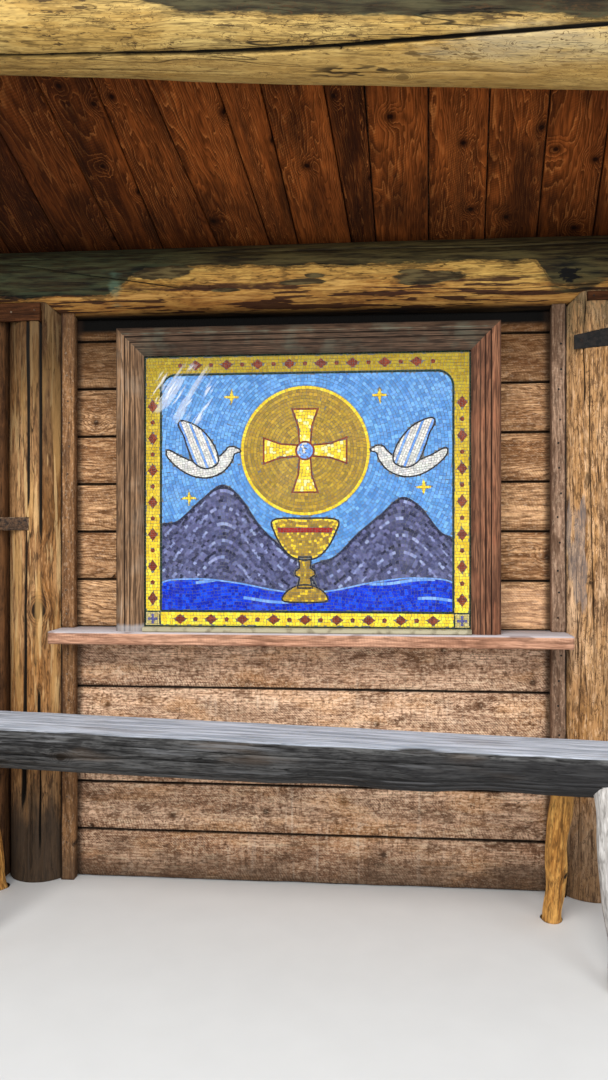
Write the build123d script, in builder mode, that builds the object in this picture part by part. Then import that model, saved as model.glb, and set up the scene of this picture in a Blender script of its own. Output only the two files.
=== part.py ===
from build123d import *
import math
import os

os.makedirs("parts", exist_ok=True)

# Log-built shrine shelter: a board wall with a framed mosaic stands under a single-pitch roof of
# planks, which lies on two horizontal logs on posts. A log rail on four legs stands in front.
# The origin is at the ground under the middle of the roof, +X to the right, -Y towards the viewer.

# Roof and the two logs that carry it
ROOF_WIDTH = 3600
ROOF_DEPTH = 1640
ROOF_PITCH = 24.1
REAR_OVERHANG = 330          # plate log's axis to the rear edge of the planks, in plan
CEILING_REAR = 2705          # planks' underside above the plate log's axis
PLANK_THICKNESS = 38
PLANK_GAP = 5
COVER_BATTEN_WIDTH = 70
COVER_BATTEN_THICKNESS = 22
LOG_LENGTH = 3440
LOG_SEAT = 10                # depth of the flat that is hewn on a log for the planks
LOG_END_CHAMFER = 9

PLATE_LEFT_RADIUS = 150
PLATE_RIGHT_RADIUS = 157
BEAM_LEFT_RADIUS = 125
BEAM_RIGHT_RADIUS = 165
BEAM_LEFT_REACH = 1043       # beam log's axis in front of the wall boards, at its left end
BEAM_RIGHT_REACH = 886       # and at its right end, where the log comes nearer to the wall

# Widths of the roof planks from left to right, at the wall and at the beam log: the planks are
# tapered and laid as they came, so that their joints fan out
PLANK_WIDTHS = [
    (245, 215), (240, 230), (250, 222), (244, 221),
    (187, 201), (241, 160), (224, 241), (121, 163), (227, 211), (105, 157),
    (220, 216), (231, 196), (213, 198), (227, 197),
    (205, 250), (212, 258), (208, 264),
]

# Wall between the rear posts
BAY_HALF_WIDTH = 1055
BOARD_HEIGHT = 205
BOARD_THICKNESS = 51
BOARD_EDGE = 5
LOWER_BOARDS = 5
UPPER_BOARDS = 6
WALL_SETBACK = 30            # boards' front face in front of the plate log's axis
BATTEN_WIDTH = 57
BATTEN_DEPTH = 46
SCRIBE_HEIGHT = 60           # what the top board and the battens reach up past the log's underside
SHELF_THICKNESS = 51
SHELF_REACH = 200
SHELF_END_GAP = 5
SHELF_ROUNDING = 6

# Posts
POST_FOOT_RADIUS = 136
POST_TOP_RADIUS = 142
POST_FLAT = 26               # depth of the flat that is hewn on a rear post for the boards
ABUTMENT_FLAT = 12           # and of those where a rear post and its outer post stand together
OUTER_POST_FOOT_RADIUS = 88
OUTER_POST_TOP_RADIUS = 82
POST_GAP = 2
POST_FRONT = 95              # rear posts' front in front of the wall boards
FRONT_POST_INSET = 220       # front posts' axes in from the roof logs' ends
FRONT_POST_FOOT_RADIUS = 118
FRONT_POST_TOP_RADIUS = 108
NOTCH_DEPTH = 58
NOTCH_SLOPE = 60
NOTCH_CLEARANCE = 2
NOTCH_LEAD = 7               # the plate log's notch starts this far inside the post

# Boards and irons on the posts
HEADER_THICKNESS = 24
HEADER_LEFT_HEIGHT = 76
HEADER_RIGHT_HEIGHT = 36
HEADER_INNER_REACH = 43      # header board's inner end past its rear post's axis
HEADER_DROP = 4
HOUSING_DEPTH = 24
STRAP_THICKNESS = 6
STRAP_HOUSING = 14
STRAP_OUTER_REACH = 63       # straps' outer ends past the outer posts' axes
STRAP_LEFT_REACH = -9        # straps' inner ends past the rear posts' axes
STRAP_RIGHT_REACH = 95
STRAP_LEFT_Z = 1498
STRAP_LEFT_HEIGHT = 48
STRAP_ROLL_RADIUS = 7
STRAP_RIGHT_INNER_Z = (2214, 2270)
STRAP_RIGHT_OUTER_Z = (2244, 2346)

# Framed mosaic on the shelf
FRAME_HALF_WIDTH = 778
FRAME_HEIGHT = 1244
FRAME_FRONT = 170            # frame's front in front of the wall boards
MOULDING_WIDTH = 118
MOULDING_REBATE = 14
LIP_DEPTH = 16               # moulding's front to the back of the lip that holds the cover
LIP_EDGE = 6
BEVEL_WIDTH = 26
BEVEL_DROP = 17
FLAT_WIDTH = 12
REEDS = 2
REED_WIDTH = 18
REED_CROWN = 1
GROOVE_WIDTH = 4
GROOVE_DEPTH = 4
CASE_THICKNESS = 25
COVER_THICKNESS = 4
MOSAIC_THICKNESS = 25
BACKING_THICKNESS = 20
SILL_HEIGHT = 20
SILL_CHAMFER = 4
SILL_PROUD = 15              # sill strip in front of the frame

# Log rail in front, a halved log with a flat hewn top
RAIL_LEFT_X = -1450
RAIL_RIGHT_X = 1260
RAIL_LEFT_REACH = 385        # rail's axis in front of the wall boards, at its left end
RAIL_RIGHT_REACH = 505
RAIL_LEFT_TOP = 768
RAIL_RIGHT_TOP = 716
RAIL_LEFT_RADIUS = 152
RAIL_RIGHT_RADIUS = 133
RAIL_SWELLING = 8            # what the rail is thicker halfway than a plain taper
RAIL_ABOVE_AXIS = 36
LEG_FOOT_RADIUS = 42
LEG_TOP_RADIUS = 50
LEG_TENON = 60
LEG_LEFT_X = -1230
LEG_RIGHT_X = 1010
LEG_STAGGER = 55             # a rear leg stands this far left of its pair's middle, a front leg right
LEG_SPLAY = 248              # a leg's foot away from the rail's axis
LEG_SPREAD = 78              # a leg's shoulder away from the rail's axis

# Places that follow from the sizes above
PITCH_TAN = math.tan(math.radians(ROOF_PITCH))
PITCH_COS = math.cos(math.radians(ROOF_PITCH))
PLATE_Y = ROOF_DEPTH / 2 - REAR_OVERHANG
WALL_FRONT_Y = PLATE_Y - WALL_SETBACK
WALL_BACK_Y = WALL_FRONT_Y + BOARD_THICKNESS
SHELF_UNDER_Z = LOWER_BOARDS * BOARD_HEIGHT
SHELF_TOP_Z = SHELF_UNDER_Z + SHELF_THICKNESS
TOP_BOARD_Z = SHELF_TOP_Z + UPPER_BOARDS * BOARD_HEIGHT
LOG_END_X = LOG_LENGTH / 2
FRONT_POST_X = LOG_END_X - FRONT_POST_INSET
POST_X = BAY_HALF_WIDTH + POST_TOP_RADIUS - POST_FLAT
POST_Y = WALL_FRONT_Y - POST_FRONT + POST_TOP_RADIUS
POST_SIDE_X = POST_X + POST_TOP_RADIUS - ABUTMENT_FLAT
OUTER_POST_SIDE_X = POST_SIDE_X + POST_GAP
OUTER_POST_X = OUTER_POST_SIDE_X + OUTER_POST_TOP_RADIUS - ABUTMENT_FLAT
OUTER_POST_Y = WALL_FRONT_Y - POST_FRONT + OUTER_POST_FOOT_RADIUS
STRAP_OUTER_X = OUTER_POST_X + STRAP_OUTER_REACH
STRAP_LEFT_INNER_X = POST_X - STRAP_LEFT_REACH
STRAP_RIGHT_INNER_X = POST_X - STRAP_RIGHT_REACH
FAR = 4000                   # reach of a cutting solid that goes right through


def ceiling_z(y):
    """Height of the planks' underside over a place in plan."""
    return CEILING_REAR + (PLATE_Y - y) * PITCH_TAN


def between(start, end, share):
    """The value that lies a share of the way from start to end."""
    return start + (end - start) * share


def roof_log_axis_z(y, radius):
    """Height of a log's axis that lies under the planks with its hewn seat."""
    return ceiling_z(y) - (radius - LOG_SEAT) / PITCH_COS


def log_share(x):
    """How far along a roof log, from its left end, a place lies."""
    return (x + LOG_END_X) / LOG_LENGTH


PLATE_START = (-LOG_END_X, PLATE_Y, roof_log_axis_z(PLATE_Y, PLATE_LEFT_RADIUS))
PLATE_END = (LOG_END_X, PLATE_Y, roof_log_axis_z(PLATE_Y, PLATE_RIGHT_RADIUS))
BEAM_LEFT_Y = WALL_FRONT_Y - BEAM_LEFT_REACH
BEAM_RIGHT_Y = WALL_FRONT_Y - BEAM_RIGHT_REACH
BEAM_START = (-LOG_END_X, BEAM_LEFT_Y, roof_log_axis_z(BEAM_LEFT_Y, BEAM_LEFT_RADIUS))
BEAM_END = (LOG_END_X, BEAM_RIGHT_Y, roof_log_axis_z(BEAM_RIGHT_Y, BEAM_RIGHT_RADIUS))


def underside_z(start, end, start_radius, end_radius, x):
    """Height of a roof log's underside at a place along it."""
    share = log_share(x)
    return between(start[2], end[2], share) - between(start_radius, end_radius, share)


def plate_underside_z(x):
    return underside_z(PLATE_START, PLATE_END, PLATE_LEFT_RADIUS, PLATE_RIGHT_RADIUS, x)


def beam_underside_z(x):
    return underside_z(BEAM_START, BEAM_END, BEAM_LEFT_RADIUS, BEAM_RIGHT_RADIUS, x)


def peeled_log(start, end, start_radius, end_radius, chamfer_size=LOG_END_CHAMFER, belly=3):
    """A round log with chamfered ends, a little thicker or thinner halfway than a plain taper."""
    axis = Vector(*end) - Vector(*start)
    length = axis.length
    direction = axis.normalized()
    sideways = Vector(0, 0, 1) if abs(direction.Z) < 0.5 else Vector(1, 0, 0)
    across = direction.cross(sideways).normalized()
    outline_plane = Plane(origin=start, x_dir=across, z_dir=across.cross(direction))
    middle_radius = (start_radius + end_radius) / 2 + belly
    with BuildPart() as log:
        with BuildSketch(outline_plane):
            with BuildLine():
                Polyline(
                    (0, 0),
                    (start_radius - chamfer_size, 0),
                    (start_radius, chamfer_size),
                    (middle_radius, length / 2),
                    (end_radius, length - chamfer_size),
                    (end_radius - chamfer_size, length),
                    (0, length),
                    close=True,
                )
            make_face()
        revolve(axis=Axis(start, direction))
    return log.part


def block(x_range, y_range, z_range):
    """A plain sawn piece between its low and high sides."""
    width = x_range[1] - x_range[0]
    depth = y_range[1] - y_range[0]
    with BuildPart() as piece:
        with BuildSketch(Plane.XY.offset(z_range[0])):
            with Locations(((x_range[0] + x_range[1]) / 2, (y_range[0] + y_range[1]) / 2)):
                Rectangle(width, depth)
        extrude(amount=z_range[1] - z_range[0])
    return piece


def save(builder, name):
    builder.part.label = name
    export_step(builder.part, f"parts/{name}.step")


def side_range(side, inner, outer):
    """The X range of a piece on the left (side -1) or the right (side 1)."""
    return tuple(sorted((side * inner, side * outer)))


SIDES = {"left": -1, "right": 1}
CEILING_PLANE = Plane(
    origin=(0, PLATE_Y, CEILING_REAR),
    x_dir=(1, 0, 0),
    z_dir=(0, math.sin(math.radians(ROOF_PITCH)), PITCH_COS),
)


def notch_top_z(side):
    """Height of the flat in the plate log that a pair of rear posts carries."""
    return plate_underside_z(side * POST_X) + NOTCH_DEPTH


def plate_notch(side):
    """The hollow in the plate log over the rear posts, with its sloping inner end."""
    inner = BAY_HALF_WIDTH - NOTCH_LEAD
    outer = OUTER_POST_X + OUTER_POST_TOP_RADIUS + NOTCH_CLEARANCE
    top = notch_top_z(side)
    with BuildPart() as notch:
        with BuildSketch(Plane.XZ.offset(-FAR / 2)):
            Polygon(
                (side * inner, top - NOTCH_DEPTH),
                (side * (inner + NOTCH_SLOPE), top),
                (side * outer, top),
                (side * outer, top - FAR / 2),
                (side * inner, top - FAR / 2),
                align=None,
            )
        extrude(amount=FAR)
    return notch.part


def header_height(side):
    return HEADER_LEFT_HEIGHT if side < 0 else HEADER_RIGHT_HEIGHT


def header_block(side):
    """A short board let into the fronts of a pair of rear posts, right under the plate log."""
    top = notch_top_z(side) - HEADER_DROP
    back = WALL_FRONT_Y - POST_FRONT + HOUSING_DEPTH
    x_range = side_range(side, POST_X - HEADER_INNER_REACH, OUTER_POST_X + OUTER_POST_TOP_RADIUS)
    return block(x_range, (back - HEADER_THICKNESS, back), (top - header_height(side), top))


def strap_outline(side, room_below):
    """Corners of a tie strap, seen from the front, or of its housing with room for the roll."""
    if side < 0:
        low = STRAP_LEFT_Z - room_below
        high = STRAP_LEFT_Z + STRAP_LEFT_HEIGHT
        inner = STRAP_LEFT_INNER_X
        return [(-inner, low), (-inner, high), (-STRAP_OUTER_X, high), (-STRAP_OUTER_X, low)]
    inner_low, inner_high = STRAP_RIGHT_INNER_Z
    outer_low, outer_high = STRAP_RIGHT_OUTER_Z
    return [
        (STRAP_RIGHT_INNER_X, inner_low),
        (STRAP_OUTER_X, outer_low),
        (STRAP_OUTER_X, outer_high),
        (STRAP_RIGHT_INNER_X, inner_high),
    ]


def strap_blank(side, depth, room_below=0):
    """A strap's outline, from the back of its housing in the posts forward by a depth."""
    back = WALL_FRONT_Y - POST_FRONT + STRAP_HOUSING
    with BuildPart() as blank:
        with BuildSketch(Plane.XZ.offset(-back)):
            Polygon(*strap_outline(side, room_below), align=None)
        extrude(amount=depth)
    return blank.part


# Plate log over the rear posts
plain_plate_log = peeled_log(PLATE_START, PLATE_END, PLATE_LEFT_RADIUS, PLATE_RIGHT_RADIUS)
plate_notches = [plate_notch(side) for side in SIDES.values()]
with BuildPart() as rear_plate_log:
    add(plain_plate_log)
    split(bisect_by=CEILING_PLANE, keep=Keep.BOTTOM)
    add(plate_notches, mode=Mode.SUBTRACT)
save(rear_plate_log, "rear_plate_log")


def upright_plane(side, x):
    """A plane across the wall on one side, with its normal away from the bay."""
    return Plane(origin=(side * x, 0, 0), z_dir=(side, 0, 0))


# Rear posts, with their flats, the shoulder under the notch and the housings
for side_name, side in SIDES.items():
    top = notch_top_z(side)
    inner = BAY_HALF_WIDTH - NOTCH_LEAD
    header = header_block(side)
    housings = [header.part, strap_blank(side, FAR / 20, STRAP_ROLL_RADIUS)]
    log = peeled_log((side * POST_X, POST_Y, 0), (side * POST_X, POST_Y, top),
                     POST_FOOT_RADIUS, POST_TOP_RADIUS, chamfer_size=2, belly=2)
    with BuildPart() as rear_post:
        add(log)
        split(bisect_by=upright_plane(side, BAY_HALF_WIDTH), keep=Keep.TOP)
        split(bisect_by=upright_plane(side, POST_SIDE_X), keep=Keep.BOTTOM)
        with BuildSketch(Plane.XZ.offset(-FAR / 2)):
            Polygon(
                (side * inner, top - NOTCH_DEPTH),
                (side * (inner + NOTCH_SLOPE), top),
                (side * inner, top),
                align=None,
            )
        extrude(amount=FAR, mode=Mode.SUBTRACT)
        add(housings, mode=Mode.SUBTRACT)
    save(rear_post, f"rear_post_{side_name}")

    log = peeled_log((side * OUTER_POST_X, OUTER_POST_Y, 0), (side * OUTER_POST_X, OUTER_POST_Y, top),
                     OUTER_POST_FOOT_RADIUS, OUTER_POST_TOP_RADIUS, chamfer_size=2, belly=-2)
    with BuildPart() as outer_post:
        add(log)
        split(bisect_by=upright_plane(side, OUTER_POST_SIDE_X), keep=Keep.TOP)
        add(housings, mode=Mode.SUBTRACT)
    save(outer_post, f"outer_post_{side_name}")
    save(header, f"header_board_{side_name}")


# Tie straps on the rear posts: the left one has a rolled lower edge
strap_plate = strap_blank(SIDES["left"], STRAP_THICKNESS)
with BuildPart() as strap_left:
    add(strap_plate)
    strap_front = WALL_FRONT_Y - POST_FRONT + STRAP_HOUSING - STRAP_THICKNESS
    with BuildSketch(Plane.YZ.offset(-STRAP_OUTER_X)):
        with Locations((strap_front, STRAP_LEFT_Z)):
            Circle(STRAP_ROLL_RADIUS)
        with Locations((strap_front + STRAP_ROLL_RADIUS, STRAP_LEFT_Z)):
            Rectangle(2 * STRAP_ROLL_RADIUS, 4 * STRAP_ROLL_RADIUS, mode=Mode.SUBTRACT)
    extrude(amount=STRAP_OUTER_X - STRAP_LEFT_INNER_X)
save(strap_left, "tie_strap_left")

strap_plate = strap_blank(SIDES["right"], STRAP_THICKNESS)
with BuildPart() as strap_right:
    add(strap_plate)
save(strap_right, "tie_strap_right")


# Beam log at the front and its two posts: each post stands in a square notch
def beam_y(x):
    """The beam log's axis in plan at a place along it."""
    return between(BEAM_LEFT_Y, BEAM_RIGHT_Y, log_share(x))


def beam_notch(side):
    """The hollow in the beam log over a front post."""
    half = FRONT_POST_TOP_RADIUS + NOTCH_CLEARANCE
    middle = side * FRONT_POST_X
    top = beam_underside_z(middle) + NOTCH_DEPTH
    return block((middle - half, middle + half), (-FAR, FAR), (top - 2 * NOTCH_DEPTH, top)).part


plain_beam_log = peeled_log(BEAM_START, BEAM_END, BEAM_LEFT_RADIUS, BEAM_RIGHT_RADIUS)
beam_notches = [beam_notch(side) for side in SIDES.values()]
with BuildPart() as front_beam_log:
    add(plain_beam_log)
    split(bisect_by=CEILING_PLANE, keep=Keep.BOTTOM)
    add(beam_notches, mode=Mode.SUBTRACT)
save(front_beam_log, "front_beam_log")

for side_name, side in SIDES.items():
    foot = (side * FRONT_POST_X, beam_y(side * FRONT_POST_X), 0)
    head = (foot[0], foot[1], beam_underside_z(foot[0]) + NOTCH_DEPTH)
    log = peeled_log(foot, head, FRONT_POST_FOOT_RADIUS, FRONT_POST_TOP_RADIUS, chamfer_size=2, belly=-4)
    with BuildPart() as front_post:
        add(log)
    save(front_post, f"front_post_{side_name}")


# Wall boards with eased edges: the top one is scribed to the underside of the plate log
def wall_board(low, high):
    """A rough-sawn board of the wall, with its long edges eased."""
    with BuildPart() as board:
        with BuildSketch(Plane.YZ.offset(-BAY_HALF_WIDTH)):
            with Locations(((WALL_FRONT_Y + WALL_BACK_Y) / 2, (low + high) / 2)):
                Rectangle(BOARD_THICKNESS, high - low)
        extrude(amount=2 * BAY_HALF_WIDTH)
        chamfer(board.edges().filter_by(Axis.X), length=BOARD_EDGE)
    return board


scribed_top = plate_underside_z(-LOG_END_X) + SCRIBE_HEIGHT
board_lows = [n * BOARD_HEIGHT for n in range(LOWER_BOARDS)]
board_lows += [SHELF_TOP_Z + n * BOARD_HEIGHT for n in range(UPPER_BOARDS)]
for number, low in enumerate(board_lows, start=1):
    save(wall_board(low, low + BOARD_HEIGHT), f"wall_board_{number:02d}")

whole_board = wall_board(TOP_BOARD_Z, scribed_top)
with BuildPart() as top_board:
    add(whole_board.part)
    add(plain_plate_log, mode=Mode.SUBTRACT)
save(top_board, f"wall_board_{len(board_lows) + 1:02d}")


# Battens that hold the boards' ends, in front and behind
def battens(low, high, front, back):
    """The left and the right batten at one height, cut to the plate log where they reach it."""
    inner = BAY_HALF_WIDTH - BATTEN_WIDTH
    strips = [
        block(side_range(side, inner, BAY_HALF_WIDTH), (front, back), (low, high)).part
        for side in SIDES.values()
    ]
    with BuildPart() as pair:
        add(strips)
        if high > SHELF_TOP_Z:
            add(plain_plate_log, mode=Mode.SUBTRACT)
    return pair


batten_front = WALL_FRONT_Y - BATTEN_DEPTH
save(battens(0, SHELF_UNDER_Z, batten_front, WALL_FRONT_Y), "lower_battens")
save(battens(SHELF_TOP_Z, scribed_top, batten_front, WALL_FRONT_Y), "upper_battens")
save(battens(0, scribed_top, WALL_BACK_Y, WALL_BACK_Y + BATTEN_DEPTH), "rear_battens")


# Shelf that lies on the fifth board and carries the frame
shelf_half = BAY_HALF_WIDTH - SHELF_END_GAP
plank = block((-shelf_half, shelf_half), (WALL_FRONT_Y - SHELF_REACH, WALL_BACK_Y),
              (SHELF_UNDER_Z, SHELF_TOP_Z))
with BuildPart() as shelf:
    add(plank.part)
    front_edges = shelf.faces().sort_by(Axis.Y)[0].edges().filter_by(Axis.X)
    fillet(front_edges, radius=SHELF_ROUNDING)
save(shelf, "shelf")


# Moulded frame, mitred at its top corners, open at the foot where it stands on the shelf
MOULDING_DEPTH = LIP_DEPTH + COVER_THICKNESS + MOSAIC_THICKNESS
FRAME_TOP_Z = SHELF_TOP_Z + FRAME_HEIGHT
FRAME_FRONT_Y = WALL_FRONT_Y - FRAME_FRONT
FRAME_BACK_Y = FRAME_FRONT_Y + MOULDING_DEPTH


def moulding(origin, across, along, length):
    """A length of moulding: across points from the frame's outer edge to its middle."""
    rebate_x = MOULDING_WIDTH - MOULDING_REBATE
    lip_back = MOULDING_DEPTH - LIP_DEPTH
    reed_edge = MOULDING_DEPTH - REED_CROWN
    with BuildPart() as piece:
        with BuildSketch(Plane(origin=origin, x_dir=across, z_dir=along)):
            with BuildLine():
                x = BEVEL_WIDTH + FLAT_WIDTH
                Polyline(
                    (rebate_x, lip_back),
                    (rebate_x, 0),
                    (0, 0),
                    (0, MOULDING_DEPTH - BEVEL_DROP),
                    (BEVEL_WIDTH, MOULDING_DEPTH),
                    (x, MOULDING_DEPTH),
                    (x, reed_edge),
                )
                for _ in range(REEDS):
                    reed_start = x + GROOVE_WIDTH
                    groove = (x + GROOVE_WIDTH / 2, MOULDING_DEPTH - GROOVE_DEPTH)
                    Polyline((x, reed_edge), groove, (reed_start, reed_edge))
                    x = reed_start + REED_WIDTH
                    crown = (reed_start + REED_WIDTH / 2, MOULDING_DEPTH)
                    ThreePointArc((reed_start, reed_edge), crown, (x, reed_edge))
                inner_edge = (MOULDING_WIDTH, lip_back + LIP_EDGE)
                hollow = ((x + MOULDING_WIDTH) / 2, between(reed_edge, inner_edge[1], 0.3))
                ThreePointArc((x, reed_edge), hollow, inner_edge)
                Polyline(inner_edge, (MOULDING_WIDTH, lip_back), (rebate_x, lip_back))
            make_face()
        extrude(amount=length)
    return piece.part


def mitre_plane(side, towards_top_rail):
    """The plane of a top corner's mitre, with its normal towards the piece that is kept."""
    corner = (side * FRAME_HALF_WIDTH, FRAME_BACK_Y, FRAME_TOP_Z)
    normal = (-side, 0, 1) if towards_top_rail else (side, 0, -1)
    return Plane(origin=corner, z_dir=normal)


top_length = moulding((FRAME_HALF_WIDTH, FRAME_BACK_Y, FRAME_TOP_Z), (0, 0, -1), (-1, 0, 0),
                      2 * FRAME_HALF_WIDTH)
with BuildPart() as frame_top:
    add(top_length)
    for side in SIDES.values():
        split(bisect_by=mitre_plane(side, True), keep=Keep.TOP)
save(frame_top, "frame_top")

side_length = moulding((-FRAME_HALF_WIDTH, FRAME_BACK_Y, FRAME_TOP_Z), (1, 0, 0), (0, 0, -1),
                       FRAME_HEIGHT)
with BuildPart() as frame_left:
    add(side_length)
    split(bisect_by=mitre_plane(-1, False), keep=Keep.TOP)
save(frame_left, "frame_left")

with BuildPart() as frame_right:
    add(frame_left.part.mirror(Plane.YZ))
save(frame_right, "frame_right")


# Case behind the frame
case_inner_half = FRAME_HALF_WIDTH - CASE_THICKNESS
case_under_top_z = FRAME_TOP_Z - CASE_THICKNESS
for side_name, side in SIDES.items():
    case_side = block(side_range(side, case_inner_half, FRAME_HALF_WIDTH), (FRAME_BACK_Y, WALL_FRONT_Y),
                      (SHELF_TOP_Z, case_under_top_z))
    save(case_side, f"case_side_{side_name}")

case_top = block((-FRAME_HALF_WIDTH, FRAME_HALF_WIDTH), (FRAME_BACK_Y, WALL_FRONT_Y),
                 (case_under_top_z, FRAME_TOP_Z))
save(case_top, "case_top")


# Clear cover and mosaic panel in the frame's rebate, and the backing board behind them
opening_half = FRAME_HALF_WIDTH - MOULDING_WIDTH
panel_half = opening_half + MOULDING_REBATE
panel_z = (SHELF_TOP_Z, FRAME_TOP_Z - MOULDING_WIDTH + MOULDING_REBATE)
lip_back_y = FRAME_FRONT_Y + LIP_DEPTH
mosaic_front_y = lip_back_y + COVER_THICKNESS

clear_cover = block((-panel_half, panel_half), (lip_back_y, mosaic_front_y), panel_z)
save(clear_cover, "clear_cover")

mosaic_panel = block((-panel_half, panel_half), (mosaic_front_y, FRAME_BACK_Y), panel_z)
save(mosaic_panel, "mosaic_panel")

backing_board = block((-case_inner_half, case_inner_half), (FRAME_BACK_Y, FRAME_BACK_Y + BACKING_THICKNESS),
                      (SHELF_TOP_Z, case_under_top_z))
save(backing_board, "backing_board")

strip_blank = block((-opening_half, opening_half), (FRAME_FRONT_Y - SILL_PROUD, lip_back_y),
                    (SHELF_TOP_Z, SHELF_TOP_Z + SILL_HEIGHT))
with BuildPart() as sill_strip:
    add(strip_blank.part)
    strip_edges = sill_strip.faces().sort_by(Axis.Y)[0].edges().filter_by(Axis.X)
    chamfer(strip_edges, length=SILL_CHAMFER)
save(sill_strip, "sill_strip")


# Log rail with its flat top, and the legs in their sockets
RAIL_LENGTH = RAIL_RIGHT_X - RAIL_LEFT_X
RAIL_START = (RAIL_LEFT_X, WALL_FRONT_Y - RAIL_LEFT_REACH, RAIL_LEFT_TOP - RAIL_ABOVE_AXIS)
RAIL_END = (RAIL_RIGHT_X, WALL_FRONT_Y - RAIL_RIGHT_REACH, RAIL_RIGHT_TOP - RAIL_ABOVE_AXIS)


def rail_axis(x):
    """A point on the rail's axis."""
    share = (x - RAIL_LEFT_X) / RAIL_LENGTH
    return Vector(x, between(RAIL_START[1], RAIL_END[1], share), between(RAIL_START[2], RAIL_END[2], share))


def rail_leg(x, face):
    """A splayed leg, towards the wall (face 1) or the viewer (face -1), up to its tenon's end."""
    axis = rail_axis(x)
    foot = Vector(x, axis.Y + face * LEG_SPLAY, 0)
    radius = between(RAIL_LEFT_RADIUS, RAIL_RIGHT_RADIUS, (x - RAIL_LEFT_X) / RAIL_LENGTH)
    rail_bottom = axis.Z - math.sqrt(radius ** 2 - LEG_SPREAD ** 2)
    shoulder = Vector(x, axis.Y + face * LEG_SPREAD, rail_bottom)
    lean = (shoulder - foot).normalized()
    top = shoulder + lean * LEG_TENON
    below = foot - lean * LEG_TOP_RADIUS
    log = peeled_log(tuple(below), tuple(top), LEG_FOOT_RADIUS, LEG_TOP_RADIUS, chamfer_size=3, belly=1)
    with BuildPart() as leg:
        add(log)
        split(bisect_by=Plane.XY, keep=Keep.TOP)
    return leg


legs = {}
for side_name, middle_x in (("left", LEG_LEFT_X), ("right", LEG_RIGHT_X)):
    legs[f"rail_leg_{side_name}_rear"] = rail_leg(middle_x - LEG_STAGGER, 1)
    legs[f"rail_leg_{side_name}_front"] = rail_leg(middle_x + LEG_STAGGER, -1)

whole_rail = peeled_log(RAIL_START, RAIL_END, RAIL_LEFT_RADIUS, RAIL_RIGHT_RADIUS, belly=RAIL_SWELLING)
rail_slope = Vector(*RAIL_END) - Vector(*RAIL_START)
flat_top = Plane(
    origin=(RAIL_START[0], RAIL_START[1], RAIL_LEFT_TOP),
    x_dir=rail_slope,
    z_dir=rail_slope.cross(Vector(0, 0, 1).cross(rail_slope)),
)
with BuildPart() as rail_log:
    add(whole_rail)
    split(bisect_by=flat_top, keep=Keep.BOTTOM)
    add([leg.part for leg in legs.values()], mode=Mode.SUBTRACT)
save(rail_log, "rail_log")
for name, leg in legs.items():
    save(leg, name)


# Roof planks on the two logs, and the cover battens over their joints
ROOF_FRONT_Y = -ROOF_DEPTH / 2
ROOF_REAR_Y = ROOF_DEPTH / 2
ROOF_SIDE_X = ROOF_WIDTH / 2


def plank_joints():
    """Each plank joint as its X at the wall boards and its X at the beam log."""
    rear = -ROOF_SIDE_X
    front = -ROOF_SIDE_X
    joints = [(rear, front)]
    for rear_width, front_width in PLANK_WIDTHS[:-1]:
        rear += rear_width
        front += front_width
        joints.append((rear, front))
    joints.append((ROOF_SIDE_X, ROOF_SIDE_X))
    return joints


def joint_x(joint, y):
    """X of a plank joint at a depth in plan."""
    beam_reach = (BEAM_LEFT_REACH + BEAM_RIGHT_REACH) / 2
    return between(joint[0], joint[1], (WALL_FRONT_Y - y) / beam_reach)


def strip_plan(left, right, left_shift, right_shift):
    """The plan of what lies between two joints, with its long edges shifted."""
    return [
        (joint_x(left, ROOF_FRONT_Y) + left_shift, ROOF_FRONT_Y),
        (joint_x(right, ROOF_FRONT_Y) + right_shift, ROOF_FRONT_Y),
        (joint_x(right, ROOF_REAR_Y) + right_shift, ROOF_REAR_Y),
        (joint_x(left, ROOF_REAR_Y) + left_shift, ROOF_REAR_Y),
    ]


def roof_layer(plans, below, thickness):
    """Sloping strips of the roof with plumb ends, a distance above the ceiling."""
    rise = below / PITCH_COS
    top_rise = (below + thickness) / PITCH_COS
    with BuildPart() as layer:
        with BuildSketch(Plane.YZ.offset(-ROOF_SIDE_X)):
            Polygon(
                (ROOF_FRONT_Y, ceiling_z(ROOF_FRONT_Y) + rise),
                (ROOF_REAR_Y, ceiling_z(ROOF_REAR_Y) + rise),
                (ROOF_REAR_Y, ceiling_z(ROOF_REAR_Y) + top_rise),
                (ROOF_FRONT_Y, ceiling_z(ROOF_FRONT_Y) + top_rise),
                align=None,
            )
        extrude(amount=ROOF_WIDTH)
        with BuildSketch(Plane.XY):
            for plan in plans:
                Polygon(*plan, align=None)
        extrude(amount=FAR, mode=Mode.INTERSECT)
    return layer


joints = plank_joints()
plank_plans = []
for number, (left, right) in enumerate(zip(joints, joints[1:])):
    left_shift = 0 if number == 0 else PLANK_GAP / 2
    right_shift = 0 if number == len(joints) - 2 else -PLANK_GAP / 2
    plank_plans.append(strip_plan(left, right, left_shift, right_shift))
save(roof_layer(plank_plans, 0, PLANK_THICKNESS), "roof_planks")

half_cover = COVER_BATTEN_WIDTH / 2
cover_plans = [strip_plan(joint, joint, -half_cover, half_cover) for joint in joints[1:-1]]
save(roof_layer(cover_plans, PLANK_THICKNESS, COVER_BATTEN_THICKNESS), "roof_cover_battens")
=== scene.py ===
import math
from functools import partial

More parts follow.
